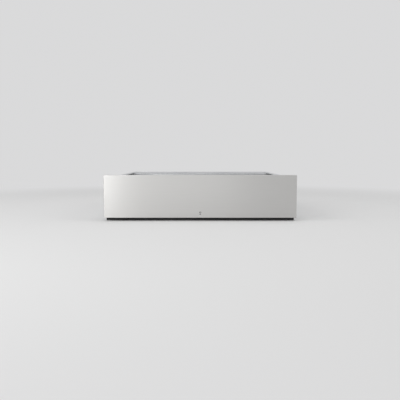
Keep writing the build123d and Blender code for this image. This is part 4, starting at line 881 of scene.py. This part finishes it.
pilot_light = grained(
    "pilot_light", (900, 900, 900), (0.62, 0.70, 0.76), (0.78, 0.84, 0.88), roughness=0.3,
    more=(("Emission Color", (0.75, 0.88, 1.0, 1)), ("Emission Strength", 0.5)),
)
lights = []
for key in (-2, 1):
    for step in (-1, 0, 1):
        light_x = key * key_pitch + step_pitch * step
        light = rod("light", (light_x, touch_y - 10, ink_mid_z), "Z", 0.7, ink_rise, 20)
        press(light, faces_up, (0.2, 0, 0))
        lights.append(light)
complete(join(lights, "touch_lights"), pilot_light, "white_plastic")

# Port for outside vessels: grey moulded flange and tube through the deck, bored and with a
# seat for the nozzle, and two ears behind it that carry the pin of the cap.
grey_moulding = moulded("grey_moulding", (0.27, 0.27, 0.28), (0.35, 0.35, 0.36), 0.48)
port_low, port_high = corners("external_port")
flange_radius = (port_high.x - port_low.x) / 2
port_x, port_y = middle("external_port").x, port_low.y + flange_radius
flange_top = deck_z + 2.5
port_bore, port_seat, port_tube = 4.0, 5.5, 7.0
pivot_radius, pin_radius = 2.8, 1.2
pivot_y, pivot_z = port_y + 18.5, flange_top + pivot_radius - 1.25
ear_shift, ear_width = 6.8, 3.0
ear_outer = ear_shift + ear_width / 2
flange = ease(rod(
    "flange", (port_x, port_y, (deck_z + flange_top) / 2), "Z",
    flange_radius, flange_top - deck_z, 64,
), 0.5, 3)
tube = rod(
    "tube", (port_x, port_y, (port_low.z + deck_z) / 2), "Z", port_tube, deck_z - port_low.z, 48
)
for bored in (flange, tube):
    take_out(bored, rod("bore", (port_x, port_y, deck_z), "Z", port_bore, 60, 48))
seat_line = (flange_top - 0.05) / 1000
seat_reach = (port_bore + 0.5) / 1000
port_axis = mm(port_x, port_y)
round_edges(flange, lambda edge: all(
    v.co.z > seat_line and (v.co.xy - port_axis).length < seat_reach for v in edge.verts
), port_seat - port_bore, 1)
web = block(
    "web", (port_x - ear_outer, port_y + 8, deck_z),
    (port_x + ear_outer, pivot_y - pivot_radius - 0.4, flange_top),
)
port_pieces = [flange, tube, ease(web, 0.4)]
for ear_x in (port_x - ear_shift, port_x + ear_shift):
    ear = block(
        "ear", (ear_x - ear_width / 2, pivot_y - pivot_radius - 0.5, deck_z),
        (ear_x + ear_width / 2, pivot_y + pivot_radius, pivot_z),
    )
    crown = rod("crown", (ear_x, pivot_y, pivot_z), "X", pivot_radius, ear_width)
    port_pieces += [ear, ease(crown, 0.2)]
pin_length = 2 * ear_outer + 0.4
port_pieces.append(rod("pin", (port_x, pivot_y, pivot_z), "X", pin_radius, pin_length, 24))
complete(join(port_pieces, "vessel_port"), grey_moulding, "grey_plastic", "external_port")


# Cap of the port: black moulded disc with a dished top and a sealing nub below, on an arm
# with a knuckle round the pin.
def broad_top(face):
    """Whether a face is flat, looks upwards and is larger than a square centimetre."""
    return face.normal.z > 0.99 and face.calc_area() > 0.0001


cap_bottom = flange_top + 0.3
cap_height = 4.0
cap_radius = corners("port_cap")[1].x - middle("port_cap").x
cap_centre = (port_x, port_y, cap_bottom + cap_height / 2)
nub_radius, nub_height = 4.4, 1.6
arm_half, arm_start = 4.8, port_y + 11
cap = ease(rod("cap", cap_centre, "Z", cap_radius, cap_height, 64), 0.9, 3)
press(cap, broad_top, (2.2, 0, 0), (0.8, -0.6, 0))
nub = rod("nub", (port_x, port_y, cap_bottom - 0.4), "Z", nub_radius, nub_height, 40)
arm = block(
    "arm", (port_x - arm_half, arm_start, cap_bottom),
    (port_x + arm_half, pivot_y, cap_bottom + cap_height),
)
knuckle = rod("knuckle", (port_x, pivot_y, pivot_z), "X", pivot_radius - 0.05, 9.8)
cap = join([cap, ease(nub, 0.4, 3), ease(arm, 0.4), ease(knuckle, 0.2)], "vessel_cap")
complete(cap, black_moulding, "black_plastic", "port_cap", body="port_cap")


# Pump: die-cast motor can with cooling fins and a crankcase with a finned cylinder and an
# exhaust filter, on a galvanised bracket that stands on four rubber mounts.
def four(reach, other_reach):
    """The corners of a rectangle about the origin."""
    return [(a, b) for a in (-reach, reach) for b in (-other_reach, other_reach)]


cast_aluminium = grained(
    "cast_aluminium", (520, 520, 520), (0.42, 0.42, 0.43), (0.58, 0.58, 0.59),
    (0.42, 0.6), 0.2, detail=7.0, metallic=0.85,
)
head_low, head_high = corners("pump_head")
filter_reach = 32
crank_end = head_high.x - filter_reach
filter_line = (crank_end + 0.5) / 1000
pump_y, motor_z = middle("pump_head").y, middle("pump_motor").z
refine("pump_motor", "motor_can", 0.5, cast_aluminium, "die_cast_aluminium")
crankcase = merged_copy("pump_head", "crankcase")
pick(crankcase, "FACE", lambda face: face.calc_center_median().x > filter_line)
bpy.ops.mesh.separate(type="SELECTED")
end_edit()
exhaust = next(one for one in bpy.context.selected_objects if one != crankcase)
exhaust.name = exhaust.data.name = "exhaust_filter"
complete(ease(crankcase, 0.5, 2, 50), cast_aluminium, "die_cast_aluminium", "pump_head")
complete(exhaust, white_moulding, "white_plastic")
dress(zinc_sheet, "pump_bracket")
cylinder_x = (head_low.x + crank_end) / 2
pump_screws = [((crank_end, pump_y + y, motor_z + z), (1, 0, 0)) for y, z in four(22, 20)]
pump_screws += [((cylinder_x + x, pump_y + y, head_high.z), up) for x, y in four(11, 11)]
fasten(screw_pattern(3.0, 2.4, 1.4), "pump_screws", pump_screws)
feet = middle("pump_mounts")
foot_reach = feet - corners("pump_mounts")[0]
foot_radius, foot_waist = 8, 0.78
mounts = []
for x, y in four(foot_reach.x - foot_radius, foot_reach.y - foot_radius):
    centre = (feet.x + x, feet.y + y, feet.z)
    mount = rod("mount", centre, "Z", foot_radius - 0.1, 2 * foot_reach.z)
    pick(mount, "EDGE", lambda edge: extent(edge).z > 5)
    bpy.ops.mesh.subdivide(number_cuts=5)
    end_edit()
    pick(mount, "VERT", lambda vert: abs(vert.co.z - feet.z / 1000) < 0.0015)
    bpy.ops.transform.resize(value=(foot_waist, foot_waist, 1), center_override=mm(*centre))
    end_edit()
    mounts.append(mount)
complete(join(mounts, "rubber_mounts"), soft_black, "black_silicone", "pump_mounts")


# Valve block: grey moulded block with two upright solenoids, each a wound coil in a bent
# steel yoke with its core's nut on top.
def ribbed(name, direction, bands, dark, light, shine, depth, metallic):
    """Finish in even ridges across one axis, with painted shade darkening its hollows."""
    finish, tree, shader, place = new_finish(name, metallic)
    ridges = waves(tree, place, direction, bands)
    # Colour darker in the hollows of the ridges: painted shade that follows the relief.
    tint(tree, shader, ridges, dark, light, 0.0, 1.0)
    gloss(tree, shader, ridges, *shine)
    relief(tree, shader, ridges, depth)
    return finish


# The winding is darker between its turns: painted shade.
winding = ribbed(
    "winding", "Z", 1900, (0.30, 0.12, 0.045), (0.52, 0.25, 0.11), (0.28, 0.45), 0.1, 0.9
)
valve_low, valve_high = corners("valve_block")
valve_x = middle("valve_block").x
block_top = valve_low.z + 26
coil_z = (block_top + valve_high.z) / 2
coil_shift, coil_radius = 14, 8.2
yoke_width, yoke_height, yoke_sheet = 20, valve_high.z - block_top, 1.6
valve_body = block("valve_body", valve_low, (*valve_high.xy, block_top))
complete(ease(valve_body, 2.5, 3), grey_moulding, "grey_plastic", "valve_block")
left_coil_x, right_coil_x = valve_x - coil_shift, valve_x + coil_shift
yokes, coils = [], []
for coil_x in (left_coil_x, right_coil_x):
    centre = (coil_x, pump_y, coil_z)
    yoke = slab("yoke", centre, (yoke_width, yoke_width, yoke_height))
    open_up(yoke, lambda face: abs(face.normal.y) > 0.9)
    nut = rod("nut", (coil_x, pump_y, valve_high.z + 1), "Z", 4, 2, 6)
    yokes += [ease(thicken(yoke, yoke_sheet), 0.5, 2, 60), ease(nut, 0.3)]
    coil = rod("coil", centre, "Z", coil_radius, yoke_height - 4, 40)
    pick(coil, "FACE", lambda face: abs(face.normal.z) > 0.9)
    bpy.ops.mesh.inset(thickness=0.0012)
    bpy.ops.transform.resize(value=(1, 1, 0.94), center_override=mm(*centre))
    end_edit()
    coils.append(coil)
complete(join(yokes, "solenoid_yokes"), rivet_steel, "zinc_slide_steel")
complete(join(coils, "solenoid_coils"), winding, "copper_winding")

# Vacuum hoses: smooth black silicone tubes from the tub and the port to the valve block and
# on to the pump, pushed over barbs under spring clamps, and hung from the deck by loops.
hose_radius = 4.9
long_bend, drop_bend, mouth_bend = 32, 27, 35
turn_y = valve_low.y - 18
lane_y, lane_z = tub_high.y + 5.2, port_low.z - 18
valve_mid_z = valve_low.z + 13
hose_routes = {
    "chamber_hose": [
        (left_coil_x, neck_end, mouth.z), (left_coil_x, turn_y, mouth.z),
        (left_coil_x, turn_y, mouth.z - mouth_bend), (left_coil_x, turn_y, valve_mid_z),
        (left_coil_x, valve_low.y, valve_mid_z),
    ],
    "port_hose": [
        (port_x, port_y, port_low.z), (port_x, port_y, lane_z),
        (port_x, port_y + long_bend, lane_z), (port_x, lane_y - long_bend, lane_z),
        (port_x, lane_y, lane_z), (port_x + long_bend, lane_y, lane_z),
        (right_coil_x - long_bend, lane_y, lane_z), (right_coil_x, lane_y, lane_z),
        (right_coil_x, lane_y, valve_mid_z + drop_bend), (right_coil_x, lane_y, valve_mid_z),
        (right_coil_x, lane_y + drop_bend, valve_mid_z), (right_coil_x, valve_low.y, valve_mid_z),
    ],
    "pump_hose": [
        (crank_end, pump_y, valve_mid_z),
        ((crank_end + valve_low.x) / 2, pump_y, valve_mid_z - 0.6),
        (valve_low.x, pump_y, valve_mid_z),
    ],
}
for hose_name, route in hose_routes.items():
    line = bpy.data.curves.new(hose_name, "CURVE")
    line.dimensions = "3D"
    line.bevel_depth = hose_radius / 1000
    line.bevel_resolution = 5
    spline = line.splines.new("NURBS")
    spline.points.add(len(route) - 1)
    for point, corner in zip(spline.points, route):
        point.co = (*mm(*corner), 1)
    spline.order_u = 3
    spline.use_endpoint_u = True
    spline.resolution_u = 8
    hose = bpy.data.objects.new(hose_name, line)
    bpy.context.scene.collection.objects.link(hose)
    only(hose)
    bpy.ops.object.convert(target="MESH")
    hose_nodes = ["vacuum_hoses"] if hose_name == "chamber_hose" else []
    complete(bpy.context.object, soft_black, "black_silicone", *hose_nodes)
clamp_inset, clamp_length = 3.5, 4
clamp_y = valve_low.y - clamp_inset
clamps = []
for spot, axis in (
    ((mouth.x, neck_end + clamp_inset, mouth.z), "Y"),
    ((left_coil_x, clamp_y, valve_mid_z), "Y"), ((right_coil_x, clamp_y, valve_mid_z), "Y"),
    ((port_x, port_y, port_low.z - clamp_inset), "Z"),
    ((crank_end + 4, pump_y, valve_mid_z), "X"), ((valve_low.x - 4, pump_y, valve_mid_z), "X"),
):
    clamps.append(ease(rod("clamp", spot, axis, hose_radius + 0.8, clamp_length), 0.3))
complete(join(clamps, "hose_clamps"), rivet_steel, "zinc_slide_steel")
strap_foot, strap_top = lane_z + hose_radius + 0.8, deck_z - 1.2
loops = []
for loop_x, loop_y, axis in (
    (port_x, -60, "Y"), (port_x, 60, "Y"), (-100, lane_y, "X"), (60, lane_y, "X"),
):
    centre = (loop_x, loop_y, lane_z)
    loop = rod("loop", centre, axis, hose_radius + 1.4, 6)
    take_out(loop, rod("inside", centre, axis, hose_radius + 0.1, 20))
    strap_size = (*((2.4, 6) if axis == "Y" else (6, 2.4)), strap_top - strap_foot)
    strap = slab("strap", (loop_x, loop_y, (strap_foot + strap_top) / 2), strap_size)
    loops += [ease(loop, 0.25), ease(strap, 0.4)]
complete(join(loops, "hose_loops"), black_moulding, "black_plastic")

# Transformer: stack of thin steel plates round a coil that is wrapped in yellow tape, with
# two screws through the stack.
plate_stack = ribbed(
    "plate_stack", "Y", 900, (0.10, 0.10, 0.11), (0.26, 0.26, 0.27), (0.4, 0.6), 0.15, 0.8
)
coil_tape = grained(
    "coil_tape", (40, 40, 400), (0.60, 0.42, 0.07), (0.72, 0.54, 0.13), (0.3, 0.42), 0.15
)
core_low, core_high = corners("transformer")
core_mid, core_size = middle("transformer"), core_high - core_low
coil_width, coil_proud, coil_inset = 34, 9, 8
core = slab("core_plates", core_mid, core_size - Vector((0, 2 * coil_proud, 0)))
complete(ease(core, 0.5), plate_stack, "black_painted_steel", "transformer")
former = slab("wound_coil", core_mid, (coil_width, core_size.y, core_size.z - 2 * coil_inset))
round_edges(former, lambda edge: extent(edge).z > 10, 5, 5)
complete(ease(former, 0.6), coil_tape, "tape_brown")
core_front, core_screw_z = core_low.y + coil_proud, core_high.z - 6
fasten(screw_pattern(3.0, 2.0, 1.4), "core_screws", [
    ((core_mid.x + x, core_front, core_screw_z), (0, -1, 0)) for x in (-22, 22)
])

# Power board: green board on six-sided posts with three relays, a sleeved capacitor and a
# finned heat sink, beside the tub.
power_low, power_high = corners("power_board")
power = middle("power_board")
post_height = 4
board_under = power_low.z + post_height
board_top = board_under + 1.6
column = 13
board = block("power_circuit", (*power_low.xy, board_under), (*power_high.xy, board_top))
complete(ease(board, 0.2), circuit_green, "circuit_board", "power_board")
posts = [
    rod("post", (power.x + x, power.y + y, power_low.z + post_height / 2), "Z", 3, post_height, 6)
    for x, y in four(21, 59)
]
complete(ease(join(posts, "board_posts"), 0.2, 1, 50), nickel, "zinc_slide_steel")
relay_blue = moulded("relay_blue", (0.030, 0.060, 0.16), (0.045, 0.085, 0.21), 0.35)
relay_size = (16, 20, 15)
relay_x, relay_z = power.x - column, board_top + relay_size[2] / 2
relays = [
    ease(slab("relay", (relay_x, power.y + y, relay_z), relay_size), 0.7, 3)
    for y in (-24, 0, 24)
]
complete(join(relays, "relays"), relay_blue, "black_plastic")
sink_x = power.x + column
can_radius, can_height = 8.9, 28
sleeve = ease(rod(
    "capacitor", (sink_x, power.y + 44, board_top + can_height / 2), "Z",
    can_radius, can_height, 40,
), 0.9, 3)
press(sleeve, broad_top, (0.8, 0, -0.4))
complete(sleeve, black_moulding, "black_plastic")
sink_width, sink_length, sink_base, sink_height = 18, 44, 4, 24
fin_width, fin_height = 1.6, 20.2
fin_pitch = (sink_width - fin_width) / 3
fin_z = board_top + sink_height - fin_height / 2
sink_centre = (sink_x, power.y, board_top + sink_base / 2)
sink = [slab("sink", sink_centre, (sink_width, sink_length, sink_base))]
for step in (-1.5, -0.5, 0.5, 1.5):
    fin_centre = (sink_x + step * fin_pitch, power.y, fin_z)
    sink.append(ease(slab("fin", fin_centre, (fin_width, sink_length, fin_height)), 0.3))
complete(join(sink, "heat_sink"), anodised, "anodised_aluminium")

# Cooling fan: black moulded frame on the drawer's rear wall, bored for its duct and its four
# screws, with the motor's seat on three struts, and a rotor with seven curved blades.
fan_low, fan_high = corners("fan_frame")
fan = middle("fan_frame")
duct_radius, hub_radius = 37.5, 16
seat_thick = 3
bolt_reach, bolt_radius, cutter_length = 35.5, 2.1, 40
duct = block("fan_duct", fan_low, fan_high)
round_edges(duct, lambda edge: extent(edge).y > 10, 4, 4)
take_out(duct, rod("bore", fan, "Y", duct_radius, cutter_length, 72))
for x, z in four(bolt_reach, bolt_reach):
    bolt = (fan.x + x, fan.y, fan.z + z)
    take_out(duct, rod("bore", bolt, "Y", bolt_radius, cutter_length, 20))
seat_y = fan_high.y - seat_thick / 2
seat = rod("seat", (fan.x, seat_y, fan.z), "Y", hub_radius, seat_thick, 48)
fan_pieces = [ease(duct, 0.5, 2, 50), ease(seat, 0.4)]
for spoke in range(3):
    strut = ease(block(
        "strut", (hub_radius - 1, -seat_thick / 2, -2), (duct_radius + 0.6, seat_thick / 2, 2)
    ), 0.5)
    strut.rotation_euler = (0, spoke * 2 * math.pi / 3, 0)
    strut.location = mm(fan.x, seat_y, fan.z)
    only(strut)
    fan_pieces.append(named("strut"))
complete(join(fan_pieces, "fan_duct"), black_moulding, "black_plastic", "fan_frame")
fan_moulding = moulded("fan_moulding", (0.028, 0.028, 0.029), (0.042, 0.042, 0.043), 0.4)
rotor = merged_copy("fan_rotor", "fan_blades")
complete(rotor, fan_moulding, "black_plastic", "fan_rotor", body="fan")

# Push latch: grey moulded body on the housing's rear wall with a white plunger that has a
# rounded tip.
refine("push_latch_body", "latch_body", 0.6, grey_moulding, "grey_plastic", "housing", 60)
tip_low, tip_high = corners("push_latch_plunger")
tip_y = middle("push_latch_plunger").y
plunger = rod("latch_plunger", (0, tip_y, slide_z), "Y", 4.9, tip_high.y - tip_low.y, 40)
ease(plunger, 1.2, 4)
complete(plunger, white_moulding, "white_plastic", "push_latch_plunger", body="housing")

# Screws of the drawer: pan heads inside the front tabs, and on the feet of the hinge
# brackets.
screw_high = corners("drawer_screws")[1]
bracket_high = corners("hinge_brackets")[1]
screw_radius, screw_height = 3.8, 2.2
tab_x, tab_y = screw_high.x - screw_radius, corners("deck_plate")[0].y + 1
foot_x, foot_y, foot_top = bracket_high.x - 10, bracket_high.y - 3.7, screw_high.z - screw_height
drawer_screws = [((x, tab_y, fan.z + z), (0, 1, 0)) for x, z in four(tab_x, 28)]
drawer_screws += [
    ((sign * foot_x + x, foot_y, foot_top), up) for sign in (-1, 1) for x in (-5, 5)
]
screw = screw_pattern(screw_radius, screw_height, 1.7)
fasten(screw, "drawer_screw_heads", drawer_screws, "drawer_screws")
